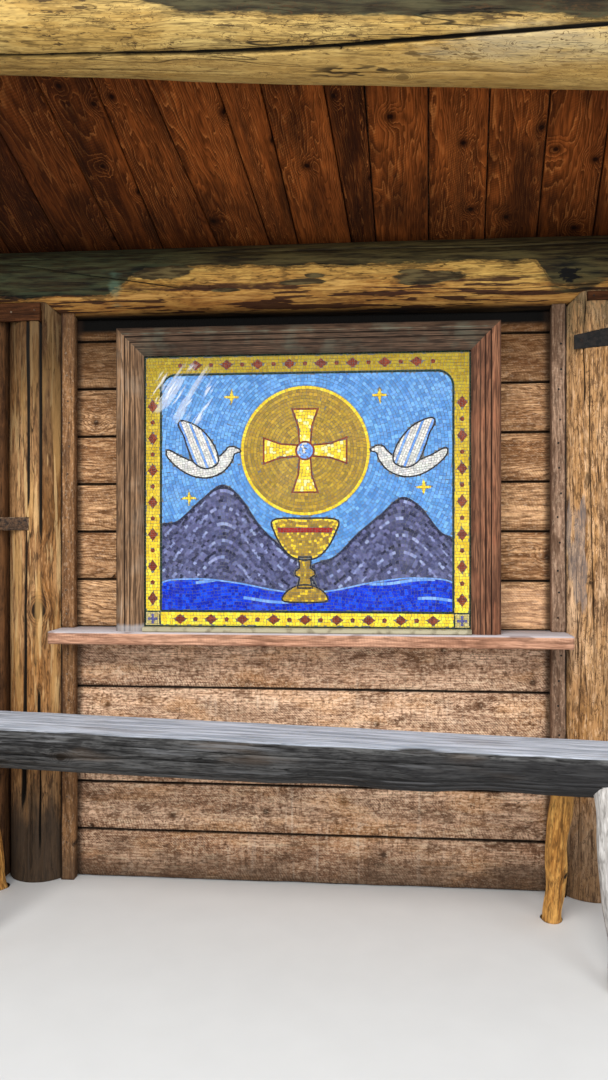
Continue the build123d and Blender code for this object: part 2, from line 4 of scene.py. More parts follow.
import bpy
import numpy as np
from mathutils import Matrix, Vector


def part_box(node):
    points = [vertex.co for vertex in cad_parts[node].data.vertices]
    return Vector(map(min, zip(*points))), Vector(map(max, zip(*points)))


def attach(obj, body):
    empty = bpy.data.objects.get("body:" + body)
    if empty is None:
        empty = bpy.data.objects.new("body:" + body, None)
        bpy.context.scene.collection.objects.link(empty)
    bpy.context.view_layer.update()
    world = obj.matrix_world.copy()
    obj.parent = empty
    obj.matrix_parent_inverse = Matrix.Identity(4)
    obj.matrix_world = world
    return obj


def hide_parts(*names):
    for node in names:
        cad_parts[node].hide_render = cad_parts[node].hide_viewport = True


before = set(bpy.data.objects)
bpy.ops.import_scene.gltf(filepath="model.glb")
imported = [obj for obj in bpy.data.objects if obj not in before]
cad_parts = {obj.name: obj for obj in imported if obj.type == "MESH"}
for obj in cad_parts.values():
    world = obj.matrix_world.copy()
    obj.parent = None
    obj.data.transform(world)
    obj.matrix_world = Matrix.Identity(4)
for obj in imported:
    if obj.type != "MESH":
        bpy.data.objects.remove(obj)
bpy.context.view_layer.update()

# Looks of the log shrine shelter. Lengths are in metres in the row frame:
# +X right, -Y to the viewer, +Z up.
RNG = np.random.default_rng(41)
TAU = 2 * math.pi


# Places taken from the CAD frame, and the sizes of its pieces
def box(name):
    return [np.array(corner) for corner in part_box(name)]


def boxes(name):
    """The boxes of a left and a right node, by the side they are on."""
    return {-1: box(name + "_left"), 1: box(name + "_right")}


WALL_Y = 0.46  # front face of the wall boards
BOARD = 0.205  # height of a board
THICK = 0.051  # thickness of the boards and of the shelf
BATTEN_WIDTH, BATTEN_DEPTH = 0.057, 0.046
HALF_BAY = box("wall_board_01")[1][0]
SHELF_LOW, SHELF_HIGH = box("shelf")
SHELF_UNDER, SHELF_TOP = SHELF_LOW[2], SHELF_HIGH[2]

PITCH = math.radians(24.1)
PITCH_COS = math.cos(PITCH)
PLATE_Y = 0.49  # axis of the log over the wall
CEILING_REAR = 2.705  # underside of the planks above that axis
SEAT = 0.010  # depth of the planks' seats in the logs
LOG_END = box("rear_plate_log")[1][0]
PLATE_R = (0.150, 0.157)
BEAM_R = (0.125, 0.165)
BEAM_Y = (WALL_Y - 1.043, WALL_Y - 0.886)


def ceiling_z(y):
    return CEILING_REAR + (PLATE_Y - y) * math.tan(PITCH)


def roof_log(ys, radii):
    """Both ends of a roof log's axis, a seat's depth into the ceiling."""
    return [(x, y, ceiling_z(y) - (r - SEAT) / PITCH_COS)
            for x, y, r in zip((-LOG_END, LOG_END), ys, radii)]


PLATE = roof_log((PLATE_Y, PLATE_Y), PLATE_R)
BEAM = roof_log(BEAM_Y, BEAM_R)

POST_R, POST_FOOT_R = 0.142, 0.136
POST_FLAT = 0.026  # cut off a rear post towards the bay
POST_FRONT = 0.095  # the posts' front before the wall
ABUT = 0.012  # flat where two posts meet
POST_GAP = 0.002
OUTER_R, OUTER_FOOT_R = 0.082, 0.088
POST_X = HALF_BAY + POST_R - POST_FLAT
POST_Y = WALL_Y - POST_FRONT + POST_R
POST_SIDE = POST_X + POST_R - ABUT
OUTER_X = POST_SIDE + POST_GAP + OUTER_R - ABUT
OUTER_Y = WALL_Y - POST_FRONT + OUTER_FOOT_R
POST_TOP = {side: b[1][2] for side, b in boxes("rear_post").items()}
NOTCH_DEPTH, NOTCH_RUN, NOTCH_LIP = 0.058, 0.060, 0.007  # of the log over the rear posts
NOTCH_END = OUTER_X + OUTER_R + POST_GAP

FRONT_X = LOG_END - 0.220
FRONT_FLAT = 0.110  # half the length of the beam log's seat on a front post
FRONT_TOP = {side: b[1][2] for side, b in boxes("front_post").items()}
HEADER = boxes("header_board")
STRAP = boxes("tie_strap")
LEFT_STRAP_Z = (1.4905, 1.5465)  # its housing in the left posts
STRAP_X = (1.076, 1.436)  # ends of the right strap, which slopes

RAIL_X = (-1.45, 1.26)
RAIL_SPAN = 2.71
RAIL_TOP, RAIL_FALL = 0.768, 0.052  # height of its hewn top at the left, and its fall
RAIL_R = (0.152, 0.133)
RAIL_FLAT = 0.036  # the hewn top above the axis
RAIL = [(RAIL_X[0], WALL_Y - 0.385, RAIL_TOP - RAIL_FLAT),
        (RAIL_X[1], WALL_Y - 0.505, 0.716 - RAIL_FLAT)]


# Noise for the meshes
def stack(x, y, z):
    return np.stack(np.broadcast_arrays(x, y, z), -1)


def value_noise(p, seed=0):
    p = np.asarray(p, float)
    cell = np.floor(p).astype(np.int64)
    f = p - cell
    f = f * f * (3 - 2 * f)

    def corner(dx, dy, dz):
        h = (cell[..., 0] + dx) * 73856093
        h = h ^ (cell[..., 1] + dy) * 19349663 ^ (cell[..., 2] + dz) * 83492791
        h = (h + seed * 2654435761) & 0xFFFFFFFF
        h = ((h ^ (h >> 15)) * 2246822519) & 0xFFFFFFFF
        h = ((h ^ (h >> 13)) * 3266489917) & 0xFFFFFFFF
        return ((h ^ (h >> 16)) & 0xFFFFFF) / 0xFFFFFF

    def lerp(a, b, t):
        return a + (b - a) * t

    def layer(dz):
        x0, x1 = (lerp(corner(0, dy, dz), corner(1, dy, dz), f[..., 0]) for dy in (0, 1))
        return lerp(x0, x1, f[..., 1])

    return lerp(layer(0), layer(1), f[..., 2])


def fbm(p, seed=0, octaves=3):
    p = np.asarray(p, float)
    total = sum(value_noise(p * 2 ** n, seed + n) / 2 ** n for n in range(octaves))
    return total / (2 - 2 ** (1 - octaves))


def smooth(a, b, v):
    t = np.clip((np.asarray(v, float) - a) / (b - a), 0, 1)
    return t * t * (3 - 2 * t)


# Shader building
TREE = None
M = {}


class S:
    """One output of a shader node, which can be used in arithmetic."""

    def __init__(self, out):
        self.out = out


def put(socket, value):
    if isinstance(value, S):
        TREE.links.new(value.out, socket)
    elif value is not None:
        if socket.type == "RGBA" and len(value) == 3:
            value = (*value, 1)
        socket.default_value = value


def node(kind, inputs, out=0, **settings):
    n = TREE.nodes.new("ShaderNode" + kind)
    for key, value in settings.items():
        setattr(n, key, value)
    for key, value in inputs.items():
        put(n.inputs[key], value)
    return S(n.outputs[out])


def calc(kind, a, b=0.0, clamp=False):
    return node("Math", {0: a, 1: b}, operation=kind, use_clamp=clamp)


def vector_math(kind, a, b=None, out=0):
    return node("VectorMath", {0: a, 1: b}, out, operation=kind)


for sign, kind in (("add", "ADD"), ("sub", "SUBTRACT"), ("mul", "MULTIPLY"), ("truediv", "DIVIDE")):
    setattr(S, f"__{sign}__", lambda a, b, kind=kind: calc(kind, a, b))
    setattr(S, f"__r{sign}__", lambda a, b, kind=kind: calc(kind, b, a))

clip = partial(calc, "ADD", b=0.0, clamp=True)
absolute, fract, root = (partial(calc, kind) for kind in ("ABSOLUTE", "FRACT", "SQRT"))
least, most = partial(calc, "MINIMUM"), partial(calc, "MAXIMUM")
times, plus = partial(vector_math, "MULTIPLY"), partial(vector_math, "ADD")
length = partial(vector_math, "LENGTH", out=1)


def step(v, low, high):
    return node("MapRange", {0: v, 1: low, 2: high, 3: 0.0, 4: 1.0},
                interpolation_type="SMOOTHSTEP")


def window(v, low, high, soft):
    return step(v, low - soft, low + soft) * step(v, high + soft, high - soft)


def line(v, outer, inner):
    """1 where a value is nearer to 0 than inner, 0 where it is further away than outer."""
    return step(absolute(v), outer, inner)


def outputs(s):
    return s.out.node.outputs


def xyz(v):
    return [S(o) for o in outputs(node("SeparateXYZ", {0: v}))]


def vector(x, y, z):
    return node("CombineXYZ", {0: x, 1: y, 2: z})


def noise(v, scale=1.0, detail=2.0, rough=0.5, warp=0.0, out=0):
    return node("TexNoise", {"Vector": v, "Scale": scale, "Detail": detail, "Roughness": rough,
                             "Distortion": warp}, out)


def fibres(g, along, across, detail=2.0, rough=0.5, warp=0.0, out=0):
    """Noise that is drawn out along the grain, with so many cells a metre along and across it."""
    return noise(times(g, (along, across, across)), 1.0, detail, rough, warp, out)


def attribute(name, out="Vector"):
    return node("Attribute", {}, out, attribute_name=name)


def place():
    return node("TexCoord", {}, "Object")


def rgb(r, g, b):
    """A colour as it looks on screen, 0 to 255, as linear values."""
    return tuple((v / 255 / 12.92) if v <= 10 else ((v / 255 + 0.055) / 1.055) ** 2.4
                 for v in (r, g, b))


def scaled(colour, by):
    return tuple(min(1, v * by) for v in colour)


def mix(f, a, b, kind="MIX"):
    return node("Mix", {0: f, 6: a, 7: b}, 2, data_type="RGBA", blend_type=kind)


def coats(base, *layers):
    """Lays colours over a base one by one. Each layer is its cover, from 0 to 1, and then its
    three values on screen, or a linear colour or a shader output."""
    for cover, *colour in layers:
        base = mix(cover, base, rgb(*colour) if len(colour) == 3 else colour[0])
    return base


def bump(height, strength, distance):
    return node("Bump", {"Height": height, "Strength": strength, "Distance": distance})


def material(name):
    """Begins a material; the shader functions add to it until the next one begins."""
    global TREE
    M[name] = bpy.data.materials.new(name)
    M[name].use_nodes = True
    TREE = M[name].node_tree
    TREE.nodes.clear()


def surface(**sockets):
    inputs = {key.replace("_", " "): value for key, value in sockets.items()}
    put(TREE.nodes.new("ShaderNodeOutputMaterial").inputs[0], node("BsdfPrincipled", inputs))


# Wood
KNOT_CELLS = (2.6, 6.0)  # a metre, along and across


def knots(g, share, size):
    """Scattered knots: their dark eyes, the swirl of grain about them, and how far they are."""
    x, y, _ = xyz(g)
    flat = vector(x * KNOT_CELLS[0], y * KNOT_CELLS[1], 0.5)
    cells = outputs(node("TexVoronoi", {"Vector": flat, "Scale": 1.0, "Randomness": 0.85}))
    there = step(xyz(S(cells["Color"]))[0], 1 - share, 1 - share + 0.02)
    away = vector_math("SUBTRACT", flat, S(cells["Position"]))
    far = length(times(away, (1 / KNOT_CELLS[0], 1 / KNOT_CELLS[1], 0)))
    return there * step(far, size, size * 0.4), there * step(far, size * 5, 0.0), far


def grain_of(carried, seed, along):
    """Place in the wood, its first value along the grain, and tone. They come from the mesh, or
    on a CAD node from the row frame, whose axis along is the one with the grain."""
    if not carried:
        return attribute("grain"), attribute("tone", "Fac")
    x, y, z = xyz(place())
    parts = ((x, y, z), (y, x, z), (z, x, y))[along]
    return plus(vector(*parts), (seed * 7.3, seed * 1.7, seed * 3.1)), None


def sawn_wood(name, light, dark, carried=False, seed=0.0, along=0, ring=0.010, ring_share=0.35,
              knot_share=0.0, knot_size=0.014, saw_marks=0.5, extra=None, relief=1.0, fibre=0.5,
              speck=0.45, shine=0.15, figure=0.035, mottle=0.5, crest=None, nap=15):
    """Flat-sawn wood: rings that arch along the piece, knots, torn fibres and saw marks."""
    material(name)
    light, dark = rgb(*light), rgb(*dark)
    g, tone = grain_of(carried, seed, along)
    x, y, z = xyz(g)
    b1, b2, b3 = xyz(fibres(g, 2.1, 13, 3, 0.6, out=1))
    # rings about a pith that lies some way behind the piece and wanders along it
    wander = (noise(vector(x * 0.8, 0.0, 3.0), detail=1) - 0.5) * 0.14
    through = z + 0.035 + (b2 - 0.5) * 0.03 + wander
    across = y - 0.1 + (b1 - 0.5) * figure
    r = root(across * across + through * through)
    if knot_share:
        eye, swirl, far = knots(g, knot_share, knot_size)
        r = r + swirl * ring * 3.2
    saw = fract(r / ring)
    rings = step(saw, 0.3, 0.92) * step(saw, 1.0, 0.95)
    fine = fibres(g, 10, 230, 1.5, 0.7)
    torn = fibres(g, nap, 135, 1.5, 0.6)
    coarse = fibres(g, 8, 55, 3.5, 0.7)
    arcs = x + y * y * 1.5 + b3 * 0.012
    teeth = (calc("SINE", arcs * (TAU / 0.0115)) * 0.5 + 0.5) * step(b3, 0.40, 0.60)
    mellow = step(b1, 0.30, 0.68) * 0.65
    if tone is not None:
        mellow = clip(mellow + (tone - 0.5) * 1.1 + 0.1)
    base = coats(mix(mellow, light, dark), (rings * ring_share, scaled(dark, 0.42)))
    if crest:
        base = coats(base, (step(saw, 0.26, 0.06) * step(b3, 0.36, 0.56) * 0.6, *crest))
    base = coats(base,
                 (step(fine, 0.60, 0.30) * fibre, scaled(dark, 0.40)),
                 (step(torn, 0.56, 0.70) * speck, scaled(dark, 0.30)),
                 (step(torn, 0.42, 0.28) * 0.25, scaled(light, 1.35)),
                 (step(coarse, 0.52, 0.63) * mottle, scaled(dark, 0.36)),
                 (step(coarse, 0.45, 0.34) * mottle * 0.7, scaled(light, 1.3)),
                 (teeth * saw_marks * 0.46, scaled(dark, 0.45)),
                 (step(b2, 0.58, 0.74) * 0.35, scaled(dark, 0.55)))
    if knot_share:
        about = step(far, knot_size * 2.4, knot_size) * swirl
        base = coats(base, (about * 0.7, scaled(dark, 0.4)), (eye * 0.92, scaled(dark, 0.10)))
    if extra:
        base = extra(base, g)
    height = fine * 0.5 + (torn * 0.6 + coarse * 0.5) * 0.45 + teeth * saw_marks * 0.7
    surface(Base_Color=base, Roughness=0.78, Normal=bump(height, 0.85 * relief, 0.0028),
            Specular_IOR_Level=shine)


def bent_about(v, at, across, size, axis):
    """Moves places so that the fibres part about a knot."""
    c = xyz(v)
    a, b = c[0] - at, c[axis] - across
    pull = step(root(a * a * 0.3 + b * b), size * 3.2, 0.0)
    c[axis] = across + b * (1.0 - pull * 0.85)
    return vector(*c)


def peeled_wood(name, light, dark, deep, warm=None, extra=None, check=1.0, patches=0.35,
                flecks=0.5, fibre=0.6, eyes=()):
    """A debarked, weathered log: fibres and checks run along it, and inner bark is left on it.
    eyes: knots as (along, across, size, which axis across), in the axes of the log's grain."""
    material(name)
    light, dark, deep = rgb(*light), rgb(*dark), rgb(*deep)
    g = attribute("grain")
    bend = fibres(g, 2.2, 5, 1.5, out=1)
    wander = plus(g, times(plus(bend, (-0.5, -0.5, -0.5)), (0.0, 0.035, 0.035)))
    for eye in eyes:
        wander = bent_about(wander, *eye)
    b1, b2, b3 = xyz(bend)
    fine = fibres(wander, 6, 190, 2, 0.7)
    streak = fibres(wander, 1.5, 34, 3, 0.65)
    left = fibres(wander, 6, 21, 3.5, 0.64)
    flake = fibres(wander, 18, 85, 2, 0.7)
    # drying checks: thin dark lines along the log where a slow noise crosses its middle
    slow = fibres(wander, 0.8, 18, 1.5)
    short = line(streak - 0.47, 0.008, 0.001) * step(left, 0.46, 0.56) * 0.7 * check
    checks = most(line(slow - 0.5, 0.006, 0.001) * step(b3, 0.47, 0.56) * check, short)
    base = mix(clip(step(b1, 0.35, 0.65) * 0.45 + step(streak, 0.40, 0.62) * 0.6), light, dark)
    if warm:
        base = coats(base, (step(b2, 0.40, 0.62) * 0.6, *warm))
    base = coats(base,
                 (step(fine, 0.58, 0.30) * fibre, scaled(deep, 0.8)),
                 (step(left, 0.57, 0.66) * patches, deep),
                 (step(left, 0.42, 0.34) * 0.3, scaled(light, 1.3)),
                 (step(flake, 0.53, 0.64) * flecks, scaled(deep, 0.55)),
                 (step(flake, 0.45, 0.33) * flecks * 0.7, scaled(light, 1.25)),
                 (checks * 0.9, scaled(deep, 0.10)))
    for at, across, size, axis in eyes:
        c = xyz(g)
        a, b = c[0] - at, c[axis] - across
        d = root(a * a * 0.55 + b * b) + (left - 0.5) * size * 1.6
        curl = step(fract(d / (size * 0.42)), 0.45, 0.95) * step(d, size * 3.0, size)
        base = coats(base, (curl * 0.75, scaled(deep, 0.4)),
                     (step(d, size * 1.1, size * 0.7) * 0.95, scaled(deep, 0.10)))
    if extra:
        base = extra(base, g)
    # painted shade: the wood turns near black where the tone attribute falls towards 0 inside the
    # modelled cracks
    base = coats(base, (step(attribute("tone", "Fac"), 0.47, 0.27) * 0.98, (0.004, 0.003, 0.002)))
    height = flake * 0.5 + streak * 0.5 - checks * 1.2
    surface(Base_Color=base, Roughness=0.75, Normal=bump(height, 0.9, 0.0045),
            Specular_IOR_Level=0.15)


def end_grain(name, light, dark):
    """A log's sawn end, with rings and radial checks; grain holds the place across the end."""
    material(name)
    light, dark = rgb(*light), rgb(*dark)
    x, y, z = xyz(attribute("grain"))
    wobble = noise(vector(y * 9, z * 9, x), detail=2) - 0.5
    r = root(y * y + z * z) + wobble * 0.012
    rings = step(fract(r / 0.0065), 0.35, 0.95)
    ray = noise(vector(calc("ARCTAN2", z, y) * 3.2, r * 1.5, 0.0), detail=3)
    split = line(ray - 0.5, 0.014, 0.003)
    base = mix(step(noise(vector(y * 20, z * 20, 0.0), detail=3), 0.35, 0.65), light, dark)
    base = coats(base, (rings * 0.4, scaled(dark, 0.45)), (split * 0.9, scaled(dark, 0.08)))
    surface(Base_Color=base, Roughness=0.85, Normal=bump(rings * 0.4 - split, 0.6, 0.003),
            Specular_IOR_Level=0.2)


def spots(p, rag, y, places, warp=0.6, soft=0.78, deep=0.2):
    """Ragged patches that share one noise, rag: 1 inside them and 0 outside. Places are the
    patches' middles and half sizes, as (x, z, along x, along z)."""
    total = None
    for x, z, wide, high in places:
        q = times(plus(p, (-x, -y, -z)), (1 / wide, 1 / deep, 1 / high))
        one = step(length(q) + (rag - 0.5) * warp * 2, 1.0, soft)
        total = one if total is None else most(total, one)
    return total


# What the weather did to each kind of piece, with painted shade, laid over its wood
def torn_fibres(base, g, share):
    """Small pits and lifted fibres of a rough-sawn face."""
    pits = fibres(g, 55, 120, 2.5, 0.7)
    return coats(base, (step(pits, 0.53, 0.62) * share, 66, 42, 26),
                 (step(pits, 0.46, 0.37) * share * 0.75, 250, 218, 184))


def beam_extra(base, g):
    p = place()
    x, y, _ = xyz(p)
    gz = xyz(g)[2]
    rag = fibres(g, 5, 26, 5, 0.65)
    # grey-green weathering over all that faces up or forward, with a ragged lower edge
    edge = 0.044 - step(x, -0.22, -0.44) * 0.036 + step(x, 0.15, 0.45) * 0.006
    edge = edge + (rag - 0.5) * 0.080
    grime = mix(step(fibres(g, 7, 60, 3), 0.38, 0.66), rgb(12, 12, 8), rgb(56, 54, 36))
    pits = fibres(g, 12, 60, 3, 0.7)
    scratch = line(fibres(g, 9, 30, 3, 0.6, 1.2) - 0.5, 0.009, 0.002)
    checks = line(fibres(g, 13, 38, 2, 0.6, 1.6) - 0.5, 0.015, 0.003)
    checks = checks * step(fibres(g, 3, 9), 0.40, 0.52)
    low = step(gz, 0.105, 0.150)
    drip = window(x, 0.10, 0.35, 0.05) * window(y, -0.545, -0.500, 0.012)
    return coats(base,
                 (step(gz - edge, 0.008, -0.008) * 0.96, grime),
                 (line(gz - edge - 0.010, 0.007, 0.002) * step(rag, 0.40, 0.56) * 0.5, 52, 42, 22),
                 (spots(p, rag, -0.58, [(0.74, 2.875, 0.42, 0.055)], 0.8, 0.2) * 0.4,
                  176, 166, 138),
                 (step(pits, 0.61, 0.65) * 0.85, 58, 42, 22),
                 (scratch * step(pits, 0.44, 0.54) * 0.8, 58, 40, 20),
                 (checks * step(gz, -0.01, 0.04) * 0.85, 64, 42, 22),
                 (low * step(rag, 0.56, 0.70) * 0.4, 124, 84, 34),
                 (low * 0.28, 222, 176, 100),
                 (drip * step(fibres(p, 12, 60), 0.47, 0.55) * 0.9, 40, 28, 18))


def plate_extra(base, g):
    p = place()
    x = xyz(p)[0]
    gz = xyz(g)[2]
    rag = fibres(g, 4.5, 17, 5, 0.62)
    mossy = mix(step(x, -0.25, -0.75), rgb(74, 66, 38), rgb(50, 57, 38))
    grime = mix(step(fibres(g, 5, 60, 3, 0.65), 0.36, 0.66), rgb(12, 13, 8), mossy)
    # the smooth bright wood lies below this height on the log, within the weathered bark
    edge = -0.020 + step(x, -0.62, -0.86) * 0.095 + step(x, 0.90, 1.00) * 0.085
    edge = edge + (rag - 0.5) * 0.115
    long_ = fibres(g, 3.2, 44, 3, 0.62)
    streak = step(long_, 0.525, 0.545) * step(gz + (rag - 0.5) * 0.10, 0.035, 0.060)
    ovals = spots(p, rag, 0.34, [
        (-0.60, 2.560, 0.12, 0.034), (-0.02, 2.503, 0.10, 0.012), (0.04, 2.527, 0.05, 0.010),
        (0.48, 2.505, 0.16, 0.026), (0.44, 2.530, 0.07, 0.012), (-0.33, 2.480, 0.07, 0.009)],
        1.0, 0.86)
    stain = mix(step(fibres(g, 10, 80, 3), 0.40, 0.62), rgb(36, 30, 18), rgb(92, 80, 50))
    bark = fibres(g, 22, 60, 3, 0.6)
    return coats(base,
                 (step(long_, 0.44, 0.34) * step(gz, 0.0, 0.04) * 0.5, 226, 178, 100),
                 (step(gz, 0.03, 0.12) * 0.45, 150, 94, 46),
                 (streak * 0.92, 46, 21, 14),
                 (ovals * 0.94, stain),
                 (step(gz - edge, 0.006, -0.006) * 0.96, grime),
                 (line(gz - edge - 0.006, 0.006, 0.002) * 0.6, 38, 26, 12),
                 # painted shadow on the log's underside, where it meets the wall
                 (step(gz, 0.126, 0.146) * 0.96, 7, 5, 3),
                 (spots(p, rag, 0.35, [(-0.80, 2.500, 0.034, 0.075)], 2.0, 0.2) * 0.45,
                  88, 112, 92),
                 (spots(p, rag, 0.34, [(1.05, 2.505, 0.12, 0.070)], 1.8, 0.5) * 0.9, grime),
                 (spots(p, bark, 0.34, [(1.050, 2.504, 0.040, 0.034)], 1.7, 0.7), 5, 4, 3))


def board_extra(base, g):
    """Weather and painted shade on the wall: pale drips, dark seams that are partly painted shade,
    dark wet foot, painted shade towards the roof, under the log over the wall and beside the
    battens.
    """
    x, _, z = xyz(place())
    rag = noise(vector(x * 5, 1.0, z * 9), detail=3)
    drip = noise(vector(x * 40, 0.0, z * 2.2), detail=2.5, rough=0.7)
    drips = step(drip, 0.53, 0.70) * window(x, -0.50, 0.62, 0.25)
    # torn marks of the saw stand upright on the lower boards
    tick = noise(vector(x * 92, 0.0, z * 24), detail=1.5, rough=0.6)
    low = step(z, 1.06, 1.02)
    warm = step(noise(vector(x * 2.6, 9.0, z * 7), detail=3, rough=0.6), 0.48, 0.64)
    patch = step(noise(vector(x * 4.2, 7.0, z * 5), detail=3, rough=0.6), 0.42, 0.60)
    stain = noise(vector(x * 6, 11.0, z * 15), detail=4, rough=0.7)
    base = coats(base,
                 (drips * step(z, 0.96, 0.80) * step(rag, 0.36, 0.60) * 0.5, 238, 214, 188),
                 (step(drip, 0.44, 0.30) * step(z, 1.0, 0.85) * 0.35, 96, 60, 38),
                 (step(rag, 0.56, 0.70) * 0.5, 92, 58, 36),
                 (warm * low * 0.30, 218, 158, 98),
                 (step(tick, 0.55, 0.66) * ((patch * 0.36 + 0.06) * low + 0.14), 84, 52, 32),
                 (step(tick, 0.44, 0.34) * low * (patch * 0.30 + 0.05), 240, 204, 170),
                 (step(stain, 0.54, 0.62) * low * 0.62, 88, 56, 34),
                 (step(stain, 0.40, 0.34) * low * 0.40, 244, 212, 182),
                 (window(z, 1.09, 1.25, 0.02) * step(x, 0.70, 0.80) * 0.22, 238, 184, 146))
    base = torn_fibres(base, g, low * 0.34 + 0.22)
    # dark lines where the boards meet, partly damp and partly painted shade of the gaps, above the
    # shelf with the shelf's thickness between
    seam = fract((z - THICK * step(z, 1.03, 1.06)) / BOARD)
    seam = least(seam, 1.0 - seam) * BOARD
    return coats(base,
                 (step(z + (rag - 0.5) * 0.30, 0.22, 0.0) * 0.78, 60, 45, 33),
                 # painted shade from the roof: the upper boards darken towards the top
                 (step(z, 1.98, 2.34) * 0.66, 66, 39, 12),
                 (step(x, -0.6, -0.9) * step(z, 1.85, 2.15) * 0.30, 40, 28, 14),
                 # painted shadow under the log over the wall: a near-black strip at the top of the
                 # boards
                 (step(z, 2.330, 2.356), 4, 3, 2),
                 # painted shadow of the battens on the boards beside them
                 (step(absolute(x), 0.962, 0.994) * 0.78, 34, 22, 14),
                 (step(seam, 0.0085 + (rag - 0.5) * 0.008, 0.0030) * 0.93, 16, 11, 8))


def batten_extra(base, g):
    x, _, z = xyz(place())
    worn = fibres(g, 8, 40)
    inner = absolute(x) + (worn - 0.5) * 0.012
    return coats(torn_fibres(base, g, 0.20),
                 (0.12, 84, 54, 34),
                 # painted shade from the roof towards the top
                 (step(z, 2.05, 2.40) * 0.5, 64, 44, 26),
                 (step(z, 0.22, 0.02) * 0.6, 66, 54, 44),
                 # painted shade in the gap where the batten meets the post
                 (step(inner, HALF_BAY - 0.009, HALF_BAY - 0.004) * 0.94, 16, 10, 7),
                 (step(worn, 0.56, 0.66) * 0.6, 70, 46, 30))


def left_post_extra(base, g):
    x, _, z = xyz(place())
    rag = fibres(g, 3, 14, 3)
    rot = mix(fibres(g, 8, 90), rgb(16, 13, 11), rgb(70, 58, 47))
    above = step(z, 0.5, 0.9)
    return coats(base,
                 (step(z + (rag - 0.5) * 0.5, 0.52, 0.24) * 0.92, rot),
                 # painted shade on the side of the post that faces into the bay
                 (step(x, -1.128, -1.118) * step(z, 1.40, 1.55) * 0.5, 72, 46, 22),
                 (step(fibres(g, 2.0, 24), 0.50, 0.64) * above * 0.45, 206, 160, 98),
                 (step(fibres(g, 4.0, 60, 3), 0.56, 0.62) * above * 0.5, 214, 176, 122),
                 # painted shade on the upper post, under the roof
                 (step(z, 1.62, 2.30) * 0.74, 46, 31, 16))


def right_post_extra(base, g):
    p = place()
    z = xyz(p)[2]
    rag = fibres(g, 5, 26, 3)
    curls = fibres(g, 11, 34, 4, 0.66, 0.6)
    return coats(base,
                 (step(z + (rag - 0.5) * 0.4, 2.16, 2.42) * 0.62, 84, 80, 58),
                 (line(curls - 0.5, 0.016, 0.004) * 0.75, 70, 44, 28),
                 (step(curls, 0.56, 0.62) * 0.4, 196, 146, 96),
                 (spots(p, rag, 0.37, [(1.094, 1.38, 0.035, 0.20)], 1.4) * 0.5, 116, 114, 116),
                 (step(z, 0.55, 0.10) * 0.65, 74, 56, 42))


def plank_extra(base, g):
    x, y, z = xyz(place())
    soot = step(fibres(g, 2.2, 6.0, 4, 0.6), 0.47, 0.66)
    above = (z - CEILING_REAR + (y - PLATE_Y) * math.tan(PITCH)) * PITCH_COS
    bleached = mix(step(fibres(g, 3, 70, 3), 0.36, 0.64), rgb(70, 58, 48), rgb(136, 122, 106))
    return coats(base,
                 (soot * 0.65, 28, 13, 6),
                 (step(y, 0.12, 0.36) * 0.4, 20, 11, 6),
                 (step(x, -0.45, -1.05) * 0.5, 34, 16, 8),
                 (step(above, 0.026, 0.035) * 0.85, bleached))


def shelf_extra(base, g):
    x, y, z = xyz(place())
    grey = mix(fibres(g, 6, 60), rgb(150, 144, 146), rgb(202, 196, 200))
    stain = noise(vector(x * 9, 2.0, z * 24), detail=2)
    return coats(base, (step(z, 1.068, 1.0735) * 0.93, grey),
                 (step(stain, 0.56, 0.68) * step(y, 0.275, 0.264) * 0.55, 96, 62, 46))


def rail_extra(base, g):
    x, _, z = xyz(place())
    over = z - (RAIL_TOP - (x - RAIL_X[0]) * (RAIL_FALL / RAIL_SPAN))
    streak = step(fibres(g, 3, 60, 4, 0.65), 0.36, 0.64)
    pale = mix(streak, rgb(150, 157, 168), rgb(210, 215, 226))
    worn = fibres(g, 6, 26, 3)
    lines = fibres(g, 1.6, 42, 2.5, 0.6)
    side = step(over, -0.012, -0.02)
    return coats(base,
                 (step(over + (worn - 0.5) * 0.010, -0.009, -0.003) * 0.94, pale),
                 (step(fibres(g, 2.4, 9), 0.55, 0.70) * 0.22, 112, 88, 64),
                 (line(lines - 0.5, 0.010, 0.002) * side * 0.8, 10, 10, 10),
                 (step(lines, 0.58, 0.66) * side * 0.5, 120, 120, 122),
                 # painted shade on the rail's front below its hewn top, strongest towards the right
                 (step(x, -0.6, 0.9) * step(over, -0.018, -0.030) * 0.75, 34, 33, 34))


FRAME_OUT, FRAME_TOP = 0.778, 2.320  # outer edges of the frame


def frame_extra(tint, upright):
    """Wear and tint on the moulding, darker grooves, and painted shade along its hollow and on its
    outer edge.
    """
    def extra(base, g):
        p = place()
        x, _, z = xyz(p)
        worn = noise(times(p, (7, 7, 7)), detail=3, rough=0.6)
        out = FRAME_OUT - absolute(x) if upright else FRAME_TOP - z
        groove = most(line(out - 0.040, 0.0042, 0.0012), line(out - 0.062, 0.0042, 0.0012))
        groove = most(groove, line(out - 0.083, 0.0040, 0.0010) * 0.8)
        crown = line(out - 0.027, 0.004, 0.001) * step(worn, 0.40, 0.60)
        base = coats(base,
                     (step(worn, 0.48, 0.68) * 0.4, *tint),
                     # painted shade along the hollow by the panel
                     (step(out, 0.086, 0.116) * 0.45, 34, 24, 18),
                     (groove * 0.85, 26, 17, 12),
                     (crown * 0.5, scaled(rgb(*tint), 1.5)))
        if upright:
            foot = step(z + (worn - 0.5) * 0.05, 1.112, 1.092) * step(x, 0.0, -0.1)
            base = coats(base, (foot * 0.7, 160, 156, 156))
        # painted shade on the outer edge of the moulding
        return coats(base, (step(out, 0.010, 0.0) * 0.6, 30, 22, 17))
    return extra


